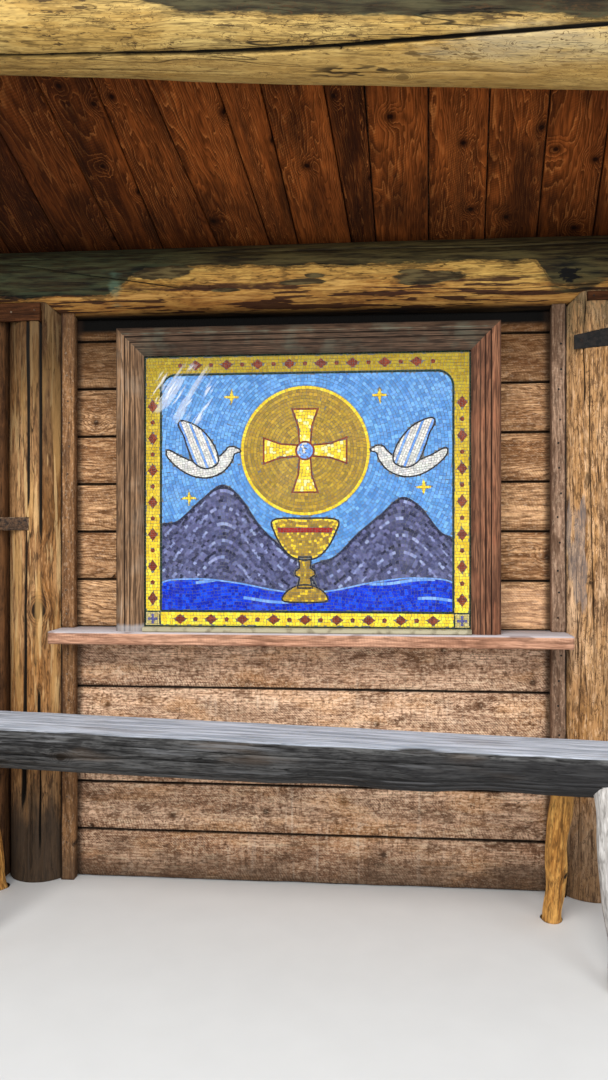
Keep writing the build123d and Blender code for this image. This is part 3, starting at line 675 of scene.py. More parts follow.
# Materials
sawn_wood("boards_low", (244, 202, 168), (178, 126, 90), ring=0.011, ring_share=0.5,
          knot_share=0.34, knot_size=0.017, saw_marks=1.2, extra=board_extra, fibre=0.7,
          speck=0.8, nap=75)
sawn_wood("boards_high", (232, 182, 134), (134, 86, 48), ring=0.0075, ring_share=0.8,
          knot_share=0.42, knot_size=0.016, saw_marks=0.6, extra=board_extra, figure=0.10,
          fibre=0.7, speck=0.6, shine=0.10, nap=40, relief=0.7)
for part, light, dark, share in (("left", (168, 124, 82), (100, 66, 40), 0.3),
                                 ("right", (180, 146, 120), (106, 79, 62), 0.25)):
    sawn_wood("batten_" + part, light, dark, ring=0.008, ring_share=0.5, knot_share=share,
              knot_size=0.009, saw_marks=0.3, extra=batten_extra)
sawn_wood("batten_rear", (150, 128, 106), (102, 84, 68), ring=0.008, knot_share=0.25,
          saw_marks=0.4)
sawn_wood("planks", (160, 84, 34), (76, 36, 14), ring=0.0075, ring_share=0.55, knot_share=0.45,
          saw_marks=0.6, extra=plank_extra, shine=0.06, figure=0.14, mottle=0.35, fibre=0.35,
          speck=0.3, crest=(204, 126, 64))
sawn_wood("roof_battens_wood", (120, 104, 88), (70, 58, 48), True, 3.0, 1, ring=0.009,
          saw_marks=0.3)
sawn_wood("header_wood", (98, 58, 32), (48, 28, 16), shine=0.08)
sawn_wood("shelf_wood", (212, 162, 132), (152, 102, 76), ring_share=0.5, saw_marks=0.3,
          extra=shelf_extra, mottle=0.45)
for part, light, dark, seed, along, tint in (
        ("top", (104, 80, 62), (50, 37, 28), 5.0, 0, (92, 94, 80)),
        ("left", (170, 132, 98), (92, 66, 46), 6.0, 2, (150, 130, 110)),
        ("right", (152, 104, 76), (78, 46, 34), 8.0, 2, (136, 84, 60))):
    sawn_wood(f"frame_{part}_wood", light, dark, True, seed, along, ring=0.007, ring_share=0.6,
              saw_marks=0.0, fibre=0.8, mottle=0.3, extra=frame_extra(tint, part != "top"))
sawn_wood("case_wood", (92, 66, 48), (54, 38, 28), True, 9.0, 2, ring=0.008, saw_marks=0.1)
sawn_wood("backing_wood", (150, 122, 92), (110, 84, 60), True, 11.0, 0, ring=0.012,
          saw_marks=0.2)

LEFT_POST, RIGHT_POST, BEAM_SEED, RAIL_SEED, GOLD_LEG = 10, 12, 5, 29, 44
GRAIN_STEP = 3.7  # how far along the grain two logs with seeds one apart lie


def eye_at(seed, along, across, size, axis):
    """A knot's place in the grain of the log with this seed."""
    return seed * GRAIN_STEP + along, across, size, axis


peeled_wood("beam_log_wood", (184, 156, 94), (142, 110, 54), (70, 50, 26), (164, 128, 64),
            beam_extra, patches=0.22, flecks=0.42, eyes=[eye_at(BEAM_SEED, 2.087, 0.013, 0.014, 1)])
peeled_wood("plate_log_wood", (196, 157, 82), (148, 106, 48), (58, 36, 17), (160, 108, 48),
            plate_extra, patches=0.45, flecks=0.55)
peeled_wood("post_left_wood", (182, 138, 92), (126, 86, 50), (62, 39, 22), (150, 98, 44),
            left_post_extra, patches=0.6, fibre=0.8, flecks=0.6,
            eyes=[eye_at(LEFT_POST, 1.152, 0.034, 0.028, 2),
                  eye_at(LEFT_POST, 2.308, 0.086, 0.018, 2)])
peeled_wood("post_right_wood", (226, 186, 146), (160, 116, 76), (88, 58, 36), (188, 138, 80),
            right_post_extra, check=0.8, patches=0.5, fibre=0.8, flecks=0.65)
peeled_wood("post_outer_wood", (108, 72, 42), (66, 41, 24), (36, 23, 15), check=0.8)
peeled_wood("post_front_wood", (190, 152, 106), (134, 98, 62), (82, 58, 38))
peeled_wood("rail_log_wood", (92, 91, 90), (42, 41, 41), (17, 16, 16), extra=rail_extra,
            patches=0.5, fibre=0.85, eyes=[eye_at(RAIL_SEED, 0.60, 0.058, 0.016, 2)])
peeled_wood("leg_gold_wood", (234, 176, 96), (162, 106, 46), (76, 46, 20), check=0.6,
            patches=0.45, eyes=[eye_at(GOLD_LEG, 0.273, 0.030, 0.011, 2)])
peeled_wood("leg_grey_wood", (212, 208, 204), (172, 166, 160), (116, 110, 104), check=0.8,
            patches=0.2)
end_grain("log_end_pale", (190, 158, 108), (140, 108, 68))
end_grain("log_end_grey", (150, 144, 136), (104, 98, 92))

material("strap_iron")
p = place()
x, _, z = xyz(p)
rust = step(noise(p, 38, 3, 0.6), 0.55, 0.7)
left = step(x, 0.0, -0.1)
rim = most(step(absolute(z - 1.5185), 0.0235, 0.0270) * left, step(absolute(x), 1.184, 1.181))
base = mix(step(noise(p, 90, 3), 0.38, 0.62), rgb(7, 6, 6), rgb(30, 25, 22))
base = coats(base,
             (rust * 0.5, 70, 46, 32),
             (left * step(noise(p, 70, 3, 0.65), 0.34, 0.66) * 0.8, 104, 76, 54),
             (rim * step(noise(p, 60, 2), 0.42, 0.60) * left * 0.8, 128, 108, 88))
surface(Base_Color=base, Metallic=0.0, Roughness=0.6 + rust * 0.3, Specular_IOR_Level=0.2,
        Normal=bump(noise(p, 150, 2), 0.5, 0.0015))

material("sill_aluminium")
p = place()
scuff = fibres(p, 8, 120)
base = mix(step(noise(p, 22, 3), 0.5, 0.66) * 0.6 + scuff * 0.3, rgb(176, 168, 140),
           rgb(112, 102, 80))
surface(Base_Color=base, Metallic=0.5, Roughness=0.5 + scuff * 0.25,
        Normal=bump(scuff, 0.3, 0.001))

# painted glare: white streaks and sweeps near the sheet's upper left corner, drawn like scratches
material("clear_cover_sheet")
p = place()
x, _, z = xyz(p)
down = x * 0.57 + z * 0.82
slant = x * 0.82 - (z - 2.0) * 0.57
near = spots(p, noise(p, 9, 2), 0.308, [(-0.50, 2.05, 0.14, 0.16)], 0.5, 0.72, 0.5)
streak = noise(vector(slant * 60, down * 7, 0.0), detail=3, rough=0.65)
# the scratch streaks and the broad sweeps below are painted glare, white where the alpha rises
scratch = step(streak, 0.55, 0.68) * near
glare_sweep = step(noise(vector(slant * 26, down * 2.5, 4.0), detail=2), 0.57, 0.64) * near
surface(Base_Color=(0.93, 0.95, 0.97), Roughness=0.35, Specular_IOR_Level=0.4,
        Alpha=clip(0.004 + scratch * 0.34 + glare_sweep * 0.16))


# Mesh building
def mesh_piece(name, verts, faces, mats, stands_for=(), grain=None, tone=0.5, index=None,
               smoothed=False):
    mesh = bpy.data.meshes.new(name)
    mesh.from_pydata([tuple(v) for v in verts], [], faces)
    for m in mats:
        mesh.materials.append(m)
    if index is not None:
        mesh.polygons.foreach_set("material_index", np.asarray(index, np.int32))
    mesh.polygons.foreach_set("use_smooth", np.broadcast_to(smoothed, len(mesh.polygons)).copy())
    if grain is not None:
        a = mesh.attributes.new("grain", "FLOAT_VECTOR", "POINT")
        a.data.foreach_set("vector", np.asarray(grain, np.float32).ravel())
        a = mesh.attributes.new("tone", "FLOAT", "POINT")
        tone = np.broadcast_to(np.asarray(tone, np.float32), (len(verts),))
        a.data.foreach_set("value", tone.copy())
    mesh.update()
    obj = bpy.data.objects.new(name, mesh)
    bpy.context.scene.collection.objects.link(obj)
    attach(obj, "root")
    if stands_for:
        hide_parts(*stands_for)
    return obj


def tube(rows, cols):
    """Faces of a tube with rows rings of cols points, and last those of its two ends."""
    i, j = np.meshgrid(np.arange(rows - 1), np.arange(cols), indexing="ij")
    k = (j + 1) % cols
    faces = np.stack([i * cols + j, (i + 1) * cols + j, (i + 1) * cols + k, i * cols + k], -1)
    last = (rows - 1) * cols
    return faces.reshape(-1, 4).tolist() + [list(range(cols)), [*range(last, last + cols)][::-1]]


CAP = (0.12, 0.4, 0.7, 0.93)  # the rings on a log's ends, as shares of its radius


def capped(rows):
    """The rows of a log's grid, the first and the last repeated for the rings on its ends."""
    return np.concatenate([np.repeat(rows[:1], len(CAP), 0), rows,
                           np.repeat(rows[-1:], len(CAP), 0)])


def log_piece(name, axis, radii, belly, wood, end, count, around, seed, lump=0.003,
              chamfer=0.002, cracks=(), bumps=(), carve=None, marks=(), stands_for=None):
    """A round log along an axis, never thicker than its CAD node: lumps, hollows and cracks go
    inwards. Angles are 0 towards the viewer.
    cracks: (from, to, angle at the start, angle at the end, wave, width, depth), and then, if
    the crack follows a line of its own, (place, angle) pairs.
    bumps: (along, angle, reach, height).
    marks: extra places along the log where it needs an edge."""
    a, b = np.array(axis, float)
    total = np.linalg.norm(b - a)
    d = (b - a) / total
    e1 = np.array([0.0, -1.0, 0.0])
    e1 = e1 - d * d.dot(e1)
    e1 /= np.linalg.norm(e1)
    e2 = np.cross(d, e1)
    edges = [chamfer, total - chamfer] + [m + way for m in marks for way in (-0.0004, 0.0004)]
    s = np.unique(np.concatenate([np.linspace(0, total, count), edges]))
    s = s[(s >= 0) & (s <= total)]
    r0, r1 = radii
    middle = (r0 + r1) / 2 + belly
    half = total / 2
    r = np.where(s < half, r0 + (middle - r0) * s / half, middle + (r1 - middle) * (s / half - 1))
    r = r - np.clip(chamfer - s, 0, None) - np.clip(chamfer - (total - s), 0, None)
    # each crack has a column of the grid, which is pulled together along it
    cracks = sorted(cracks, key=lambda c: c[2] + c[3])
    columns = [int(round(((c[2] + c[3]) / 2 + math.pi) / TAU * around)) for c in cracks]
    angles = np.empty((len(s), around))
    sink = np.zeros((len(s), around))
    tone = np.full((len(s), around), 0.5)
    for i, at in enumerate(s):
        know, want = [0.0], [-math.pi]
        for (start, stop, angle_0, angle_1, wave, width, depth, *path), j in zip(cracks, columns):
            t = np.clip((at - start) / (stop - start), 0, 1)
            centre = np.interp(at, *zip(*path[0])) if path else angle_0 + (angle_1 - angle_0) * t
            centre += wave * math.sin(t * 9 + seed) * (0.5 + 0.5 * math.sin(at * 3.1))
            open_ = float(smooth(0, 0.12, t) * smooth(1, 0.88, t)) if 0 < t < 1 else 0.0
            rag = 0.75 + 0.5 * float(value_noise([at * 22, j, seed], seed))
            gap = width * (0.25 + 0.75 * open_ * rag) / r[i] / 2
            know += [j - 1, j, j + 1]
            want += [centre - gap, centre, centre + gap]
            sink[i, j] = depth * open_
            # tone carries painted shade into the crack, which the log's wood paints near black
            tone[i, j] = 0.5 - 0.5 * open_
        angles[i] = np.interp(np.arange(around), know + [float(around)], want + [math.pi])
    along = np.broadcast_to(s[:, None], angles.shape)
    thick = np.broadcast_to(r[:, None], angles.shape)
    cos, sin = np.cos(angles), np.sin(angles)
    hollow = lump * 1.5 * fbm(stack(along * 2.4, cos * 1.3 + seed, sin * 1.3), seed, 3)
    hollow = hollow + lump * 0.5 * fbm(stack(along * 11, cos * 6 + seed, sin * 6), seed + 9, 2)
    for at, angle, reach, height in bumps:
        off = (angles - angle + math.pi) % TAU - math.pi
        hollow = hollow - height * np.exp(-((along - at) ** 2 + (off * thick) ** 2) / reach ** 2)
    fade = np.minimum(1, np.minimum(along, total - along) / 0.04)
    shares = np.concatenate([CAP, np.ones(len(s)), CAP[::-1]])[:, None]
    all_r = capped(thick - np.clip(hollow, 0, None) * fade - sink) * shares
    all_a = capped(angles)
    all_s = capped(s)[:, None]
    y, z = all_r * np.cos(all_a), all_r * np.sin(all_a)
    p = (a + all_s[..., None] * d + y[..., None] * e1 + z[..., None] * e2).reshape(-1, 3)
    if carve:
        p = carve(p)
    grain = stack(all_s + seed * GRAIN_STEP, y, z).reshape(-1, 3)
    rows = len(all_s)
    band = np.repeat(np.arange(rows - 1), around)
    is_cap = np.append((band < len(CAP)) | (band >= rows - 1 - len(CAP)), [True, True])
    mats = (M[wood + "_wood"], M["log_end_" + end])
    return mesh_piece(name + "_visual", p, tube(rows, around), mats, stands_for or [name],
                      grain, capped(tone).ravel(), is_cap, ~is_cap)


BACK_EDGE = 0.002


def sawn_piece(name, size, where, edge, wood, stands_for, seed, count, across, tone=0.5,
               dent=0.0008, ragged=0.8, ledge=0.006):
    """A sawn board of a length, width and depth, where(s, u, v) gives a place from the lengths
    along, across and through it. Its front edges are worn back by edge and come back out at
    ledge behind the front."""
    length_, width, depth = size
    s = np.linspace(0, length_, count)

    def wear(side):
        n = fbm(stack(s * 6, side * 7.3 + seed, 0.0), seed, 3)
        small = value_noise(stack(s * 40, side, seed), seed)
        return edge * (1 - ragged + 2 * ragged * n + 0.35 * ragged * small)

    low, high = wear(1), wear(2)
    outline = [(low + (width - low - high) * (k / (across - 1)), 0) for k in range(across)]
    outline += [(width - high * 0.35, ledge * 0.6), (width, ledge), (width, depth - BACK_EDGE),
                (width - BACK_EDGE, depth), (BACK_EDGE, depth), (0, depth - BACK_EDGE),
                (0, ledge), (low * 0.35, ledge * 0.6)]
    u, v = (np.stack([side + np.zeros(count) for side in sides], 1) for sides in zip(*outline))
    along = np.broadcast_to(s[:, None], u.shape)
    v[:, :across] += (dent * 2 * fbm(stack(along * 9, u * 25 + seed, 0.0), seed + 3, 3))[:, :across]
    p = where(along.ravel(), u.ravel(), v.ravel())
    grain = stack(along + seed * 5.3, u + (seed * 0.731) % 0.25, v + (seed * 0.37) % 0.3)
    faces = tube(count, len(outline))
    smoothed = np.arange(len(faces)) < len(faces) - 2
    return mesh_piece(name, p, faces, (M[wood],), stands_for, grain.reshape(-1, 3), tone,
                      None, smoothed)


def under_ceiling(p):
    n = np.array([0.0, math.sin(PITCH), PITCH_COS])
    over = (p - np.array([0, PLATE_Y, CEILING_REAR])) @ n
    return p - np.clip(over, 0, None)[:, None] * n


def stack_under_plate(x, y, z):
    """Places no higher than just below the log over the wall."""
    f = (np.asarray(x) + LOG_END) / (2 * LOG_END)
    r = PLATE_R[0] + (PLATE_R[1] - PLATE_R[0]) * f
    axis_z = PLATE[0][2] + (PLATE[1][2] - PLATE[0][2]) * f
    under = axis_z - np.sqrt(np.clip(r * r - (np.asarray(y) - PLATE_Y) ** 2, 1e-6, None))
    return stack(x, y, np.minimum(z, under - 0.001))


# Roof logs
def carve_plate(p):
    p = under_ceiling(p)
    for side in (-1, 1):
        # the notch over the rear posts
        x = side * p[:, 0]
        rise = np.clip((x - (HALF_BAY - NOTCH_LIP)) / NOTCH_RUN, 0, 1)
        notch = POST_TOP[side] - NOTCH_DEPTH + NOTCH_DEPTH * rise
        inside = (x >= HALF_BAY - NOTCH_LIP) & (x <= NOTCH_END)
        p[:, 2] = np.where(inside, np.maximum(p[:, 2], notch), p[:, 2])
    return p


log_piece("plate_log", PLATE, PLATE_R, 0.003, "plate_log", "pale", 330, 104, 3,
          lump=0.0035, chamfer=0.009, carve=carve_plate, stands_for=["rear_plate_log"],
          marks=[LOG_END - NOTCH_END, LOG_END + NOTCH_END,
                 LOG_END - HALF_BAY + NOTCH_LIP, LOG_END + HALF_BAY - NOTCH_LIP],
          cracks=[(0.30, 1.25, -0.60, 0.45, 0.02, 0.005, 0.014),
                  (1.9, 3.2, 0.62, 0.50, 0.04, 0.003, 0.008),
                  (1.3, 3.3, -0.66, -0.60, 0.05, 0.006, 0.014)],
          bumps=[(2.82, 0.1, 0.07, 0.006), (1.25, 0.5, 0.06, 0.005), (2.1, 0.8, 0.05, 0.004)])


def carve_beam(p):
    p = under_ceiling(p)
    for side in (-1, 1):
        inside = np.abs(p[:, 0] - side * FRONT_X) <= FRONT_FLAT
        p[:, 2] = np.where(inside, np.maximum(p[:, 2], FRONT_TOP[side]), p[:, 2])
    return p


stretch = np.linalg.norm(np.subtract(*BEAM[::-1])) / (2 * LOG_END)
BEAM_CRACK = ((0.05, 1.32), (0.9, 1.165), (1.3, 1.07), (1.607, 0.973), (1.9, 0.855),
              (2.17, 0.706), (2.45, 0.55), (2.75, 0.385), (3.4, 0.0))
log_piece("beam_log", BEAM, BEAM_R, 0.003, "beam_log", "pale", 340, 112, BEAM_SEED,
          lump=0.0035, chamfer=0.009, carve=carve_beam, stands_for=["front_beam_log"],
          marks=[(LOG_END + side * FRONT_X + e) * stretch
                 for side in (-1, 1) for e in (-FRONT_FLAT, FRONT_FLAT)],
          cracks=[(0.05, 3.40, 1.30, 0.0, 0.012, 0.016, 0.036, BEAM_CRACK),
                  (0.5, 1.6, 1.60, 1.45, 0.03, 0.003, 0.006),
                  (1.75, 2.5, 1.42, 1.30, 0.03, 0.003, 0.007)],
          bumps=[(2.087, 1.45, 0.05, 0.006), (1.0, 0.6, 0.10, 0.004), (1.62, 1.7, 0.25, 0.006)])


# Posts
def strap_span(side, x):
    """Heights between which a tie strap lies let into the posts."""
    if side < 0:
        return LEFT_STRAP_Z
    f = (side * x - STRAP_X[0]) / (STRAP_X[1] - STRAP_X[0])
    return 2.214 + 0.030 * f - 0.001, 2.270 + 0.076 * f + 0.001


def carve_post(side, is_rear):
    """Shapes a post's head, its side towards its neighbour, and its two housings."""
    def carve(p):
        sx = side * p[:, 0]
        if is_rear:
            sx = np.clip(sx, HALF_BAY, POST_SIDE)
            p[:, 0] = side * sx
            rise = np.clip((sx - HALF_BAY + NOTCH_LIP) / NOTCH_RUN, 0, 1)
            p[:, 2] = np.minimum(p[:, 2], POST_TOP[side] - NOTCH_DEPTH + NOTCH_DEPTH * rise)
        else:
            p[:, 0] = side * np.maximum(sx, POST_SIDE + POST_GAP)
        header_low, header_high = HEADER[side]
        spans = ((HEADER[side], (header_low[2] - 0.001, header_high[2] + 0.001)),
                 (STRAP[side], strap_span(side, p[:, 0])))
        for (low, high), (bottom, top) in spans:
            inside = (p[:, 2] > bottom) & (p[:, 2] < top)
            inside &= (p[:, 0] > low[0] - 0.002) & (p[:, 0] < high[0] + 0.002)
            p[:, 1] = np.where(inside, np.maximum(p[:, 1], high[1] + 0.0005), p[:, 1])
        return p
    return carve


SIDES = ((-1, "left"), (1, "right"))
POST_CRACKS = {
    -1: [(0.25, 1.60, -0.36, -0.14, 0.02, 0.006, 0.03),
         (1.40, 2.46, 0.345, 0.345, 0.008, 0.007, 0.03),
         (1.55, 2.44, -0.09, -0.11, 0.02, 0.003, 0.012),
         (0.10, 0.85, 0.30, 0.24, 0.03, 0.005, 0.03),
         (0.05, 0.7, -0.02, 0.02, 0.03, 0.005, 0.03)],
    1: [(1.95, 2.44, -0.42, -0.40, 0.03, 0.006, 0.03),
        (0.9, 2.2, -0.12, -0.30, 0.05, 0.004, 0.02),
        (0.1, 1.1, -0.62, -0.50, 0.03, 0.004, 0.02),
        (0.3, 2.0, 0.20, 0.30, 0.04, 0.004, 0.02)]}
POST_BUMPS = {-1: [(1.152, 0.245, 0.05, 0.007)], 1: [(1.7, -0.3, 0.05, 0.004)]}
STRAP_MARKS = {-1: LEFT_STRAP_Z, 1: np.arange(2.210, 2.352, 0.004)}


def upright(x, y, top):
    return (x, y, 0), (x, y, top)


for side, n in SIDES:
    top = POST_TOP[side]
    marks = [HEADER[side][0][2] - 0.001, HEADER[side][1][2] + 0.001, *STRAP_MARKS[side]]
    log_piece("rear_post_" + n, upright(side * POST_X, POST_Y, top), (POST_FOOT_R, POST_R), 0.002,
              "post_" + n, "pale", 250, 96, LEFT_POST if side < 0 else RIGHT_POST,
              carve=carve_post(side, True), marks=marks, cracks=POST_CRACKS[side],
              bumps=POST_BUMPS[side])
    log_piece("outer_post_" + n, upright(side * OUTER_X, OUTER_Y, top), (OUTER_FOOT_R, OUTER_R),
              -0.002, "post_outer", "pale", 200, 60, 17 + side,
              carve=carve_post(side, False), marks=marks,
              cracks=[(0.3, 2.0, -0.3 * side, -0.2 * side, 0.05, 0.004, 0.015)])
    x = side * FRONT_X
    y = BEAM_Y[0] + (BEAM_Y[1] - BEAM_Y[0]) * ((x + LOG_END) / (2 * LOG_END))
    log_piece("front_post_" + n, upright(x, y, FRONT_TOP[side]), (0.118, 0.108), -0.004,
              "post_front", "pale", 210, 64, 23 + side, lump=0.004,
              cracks=[(0.3, 2.3, 0.3, 0.1, 0.05, 0.005, 0.02),
                      (0.2, 1.5, 2.0, 2.2, 0.05, 0.005, 0.02)],
              bumps=[(1.4, 0.6, 0.05, 0.004)])


# Boards, battens and shelf
def wall_place(z0):
    return lambda s, u, v: stack_under_plate(s - HALF_BAY, WALL_Y + v, z0 + u)


def strip_place(x0, y0, way, z0):
    return lambda s, u, v: stack_under_plate(x0 + u, y0 + way * v, z0 + s)


def corner_place(corner):
    return lambda s, u, v: stack(corner[0] + s, corner[1] + v, corner[2] + u)


BOARD_TONES = (0.55, 0.35, 0.30, 0.10, 0.30, 0.10, 0.65, 0.30, 0.55, 0.45, 0.60, 0.80)
FIRST_HIGH = 5  # boards from this one on are above the shelf
for k, tone in enumerate(BOARD_TONES):
    name = f"wall_board_{k + 1:02d}"
    low, high = box(name)
    sawn_piece(name + "_visual", (2 * HALF_BAY, high[2] - low[2], THICK), wall_place(low[2]),
               0.0055, "boards_high" if k >= FIRST_HIGH else "boards_low", [name],
               31 + k * 3, 150, 9, tone, ragged=0.85, ledge=0.016)

IN_FRONT = (WALL_Y - BATTEN_DEPTH, WALL_Y)
BEHIND = (WALL_Y + THICK + BATTEN_DEPTH, WALL_Y + THICK)
for where_, low, high, (y0, y1), seed in (
        ("lower", 0.0, SHELF_UNDER, IN_FRONT, 71),
        ("upper", SHELF_TOP, box("upper_battens")[1][2], IN_FRONT, 77),
        ("rear", 0.0, box("rear_battens")[1][2], BEHIND, 83)):
    for k, (side, n) in enumerate(SIDES):
        x0 = -HALF_BAY if side < 0 else HALF_BAY - BATTEN_WIDTH
        sawn_piece(f"batten_{where_}_{k}", (high - low, BATTEN_WIDTH, abs(y1 - y0)),
                   strip_place(x0, y0, 1 if y1 > y0 else -1, low), 0.0022,
                   "batten_rear" if where_ == "rear" else "batten_" + n,
                   [] if k else [where_ + "_battens"], seed + k, 100, 5, dent=0.0005, ledge=0.003)

sawn_piece("shelf_visual", (SHELF_HIGH[0] - SHELF_LOW[0], THICK, SHELF_HIGH[1] - SHELF_LOW[1]),
           corner_place(SHELF_LOW), 0.0045, "shelf_wood", ["shelf"], 91, 160, 7, 0.4,
           dent=0.0012)
for side, n in SIDES:
    low, high = HEADER[side]
    wide, deep, tall = high - low
    sawn_piece(f"header_board_{n}_visual", (wide, tall, deep), corner_place(low), 0.002,
               "header_wood", ["header_board_" + n], 97 + side, 50, 5,
               ledge=0.0024)

# Roof planks, whose joints fan out: widths in mm at the wall and over the beam log
PLANKS = ((245, 215), (240, 230), (250, 222), (244, 221), (187, 201), (241, 160), (224, 241),
          (121, 163), (227, 211), (105, 157), (220, 216), (231, 196), (213, 198), (227, 197),
          (205, 250), (212, 258))
PLANK_TONES = (0.8, 0.75, 0.9, 0.5, 0.68, 0.62, 0.45, 0.5, 0.4, 0.95, 0.45, 0.5, 0.42, 0.48, 0.4,
               0.5, 0.6)
JOINTS_APART = 0.9645  # from the wall to where the second widths hold
PLANK_U, PLANK_THICK, PLANK_GAP = 0.2, 0.038, 0.0025
EAVES_X, EAVES_Y = 1.8, 0.82
joints = [(-EAVES_X, -EAVES_X)]
for rear, front in PLANKS:
    joints.append((joints[-1][0] + rear / 1000, joints[-1][1] + front / 1000))
joints.append((EAVES_X, EAVES_X))


def plank_place(left, right, gap_l, gap_r, drop, cup):
    """A plank between two joints; its underside hangs up to 3 mm high and is cupped."""
    def where(s, u, v):
        y = -EAVES_Y + s * PITCH_COS
        forward = WALL_Y - y
        a, b = (rear + (front - rear) * forward / JOINTS_APART for rear, front in (left, right))
        a, b = a + gap_l, b - gap_r
        f = u / PLANK_U
        hollow = np.clip(cup * (1 - (2 * f - 1) ** 2), -drop, 0.004)
        lift = np.where(v < 0.02, drop + hollow, 0)
        return stack(a + (b - a) * f, y, ceiling_z(y) + (np.maximum(v, 0) + lift) / PITCH_COS)
    return where


for k, (left, right) in enumerate(zip(joints, joints[1:])):
    gaps = 0 if k == 0 else PLANK_GAP, 0 if k == len(PLANKS) else PLANK_GAP
    drop = float(RNG.uniform(0, 0.003))
    cup = float(RNG.uniform(-0.002, 0.003))
    sawn_piece(f"plank_{k:02d}", (2 * EAVES_Y / PITCH_COS, PLANK_U, PLANK_THICK),
               plank_place(left, right, *gaps, drop, cup), 0.0035, "planks",
               [] if k else ["roof_planks"], 101 + k, 64, 9, PLANK_TONES[k], ragged=0.9)

# Rail and its legs
WORN_EDGE = 0.0035


def carve_rail(p):
    """The hewn top, a little ragged, dipped at its front edge, over a worn edge to the side."""
    x, y, z = p.T
    share = (x - RAIL_X[0]) / RAIL_SPAN
    rag = 0.0025 * fbm(stack(x * 5, y * 14, 0.0), 7, 3)
    front = smooth(-0.09, -0.14, y - (RAIL[0][1] + share * (RAIL[1][1] - RAIL[0][1])))
    dip = 0.013 * np.exp(-((x - 0.42) / 0.075) ** 2)
    dip += 0.006 * fbm(stack(x * 4, 0.0, 0.0), 13, 3)
    top = RAIL_TOP - share * RAIL_FALL - rag - dip * front
    p[:, 2] = -WORN_EDGE * np.logaddexp(-z / WORN_EDGE, -top / WORN_EDGE)
    return p


log_piece("rail_log", RAIL, RAIL_R, 0.008, "rail_log", "grey", 300, 100, RAIL_SEED,
          lump=0.0045, chamfer=0.009, carve=carve_rail,
          cracks=[(0.05, 1.25, 0.44, 0.36, 0.03, 0.006, 0.025),
                  (0.7, 2.2, 0.05, 0.12, 0.03, 0.004, 0.02),
                  (0.2, 2.4, 0.85, 0.80, 0.05, 0.003, 0.015),
                  (1.5, 2.68, 0.62, 0.58, 0.03, 0.004, 0.015)],
          bumps=[(1.87, 1.1, 0.10, 0.010), (0.60, 0.40, 0.05, 0.006),
                 (2.14, 1.2, 0.15, -0.011), (1.56, 1.2, 0.14, -0.006)])

LEG_STAGGER = 0.055  # from a pair's middle, along the rail
LEG_SPREAD, LEG_TOP = 0.248, 0.078  # from the rail's axis, at the ground and at the rail
LEG_INTO_RAIL, LEG_BELOW = 0.060, 0.050


def carve_leg(p):
    p[:, 2] = np.maximum(p[:, 2], 0.0)
    return p


for n, middle, pair in (("left", -1.23, 5), ("right", 1.01, 0)):
    for way, part in ((1, "rear"), (-1, "front")):
        x = middle - way * LEG_STAGGER
        share = (x - RAIL_X[0]) / RAIL_SPAN
        _, y, z = (a + (b - a) * share for a, b in zip(*RAIL))
        radius = RAIL_R[0] + (RAIL_R[1] - RAIL_R[0]) * share
        foot = np.array([x, y + way * LEG_SPREAD, 0.0])
        head = np.array([x, y + way * LEG_TOP, z - math.sqrt(radius ** 2 - LEG_TOP ** 2)])
        lean = (head - foot) / np.linalg.norm(head - foot)
        wood = "leg_grey" if (n, part) == ("right", "front") else "leg_gold"
        log_piece(f"rail_leg_{n}_{part}", (foot - lean * LEG_BELOW, head + lean * LEG_INTO_RAIL),
                  (0.042, 0.050), 0.001, wood, "grey", 90, 44, 43 + way + pair,
                  lump=0.0045, chamfer=0.003, carve=carve_leg,
                  cracks=[(0.1, 0.5, 0.3, 0.35, 0.03, 0.003, 0.006)],
                  bumps=[(0.28, 0.35, 0.03, 0.006), (0.45, 2.6, 0.03, 0.005),
                         (0.40, 1.5, 0.085, -0.011), (0.20, -1.6, 0.075, -0.010),
                         (0.60, -1.5, 0.07, -0.009), (0.10, 1.5, 0.05, -0.008)])

# Nails in the battens, the header boards and the straps
NAIL_R, NAIL_SIDES = 0.0042, 10
NAIL_RINGS = ((1.0, -0.002), (1.0, 0.0006), (0.75, 0.0016))  # share of the radius, and how far out
heads = []
for side, n in SIDES:
    x = side * (HALF_BAY - BATTEN_WIDTH / 2)
    for start, boards in ((0.0, 5), (SHELF_TOP, 6)):
        for k in range(boards):
            for h in (0.05, 0.155):
                heads.append((x + RNG.uniform(-0.008, 0.008), WALL_Y - BATTEN_DEPTH,
                              start + BOARD * k + h + RNG.uniform(-0.012, 0.012)))
    low, high = HEADER[side]
    for f in (0.07, 0.30, 0.62, 0.93):
        heads.append((low[0] + (high[0] - low[0]) * f, low[1],
                      (low[2] + high[2]) / 2 + RNG.uniform(-0.008, 0.008)))
for x in (-1.205, -1.24, -1.33, -1.40, 1.10, 1.135, 1.25, 1.36):
    if x < 0:
        y, z = STRAP[-1][1][1] - 0.006, 1.522
    else:
        y, z = STRAP[1][0][1], 2.242 + (x - STRAP_X[0]) / (STRAP_X[1] - STRAP_X[0]) * 0.053
    heads.append((x, y, z + RNG.uniform(-0.006, 0.006)))
verts, faces = [], []
for x, y, z in heads:
    base = len(verts)
    for share, out in NAIL_RINGS:
        for turn in range(NAIL_SIDES):
            a = TAU * turn / NAIL_SIDES
            verts.append((x + NAIL_R * share * math.cos(a), y - out,
                          z + NAIL_R * share * math.sin(a)))
    for ring in (base, base + NAIL_SIDES):
        for j in range(NAIL_SIDES):
            k = (j + 1) % NAIL_SIDES
            faces.append([ring + j, ring + k, ring + NAIL_SIDES + k, ring + NAIL_SIDES + j])
    faces.append([base + 2 * NAIL_SIDES + j for j in range(NAIL_SIDES)])
mesh_piece("nail_heads", verts, faces, (M["strap_iron"],))


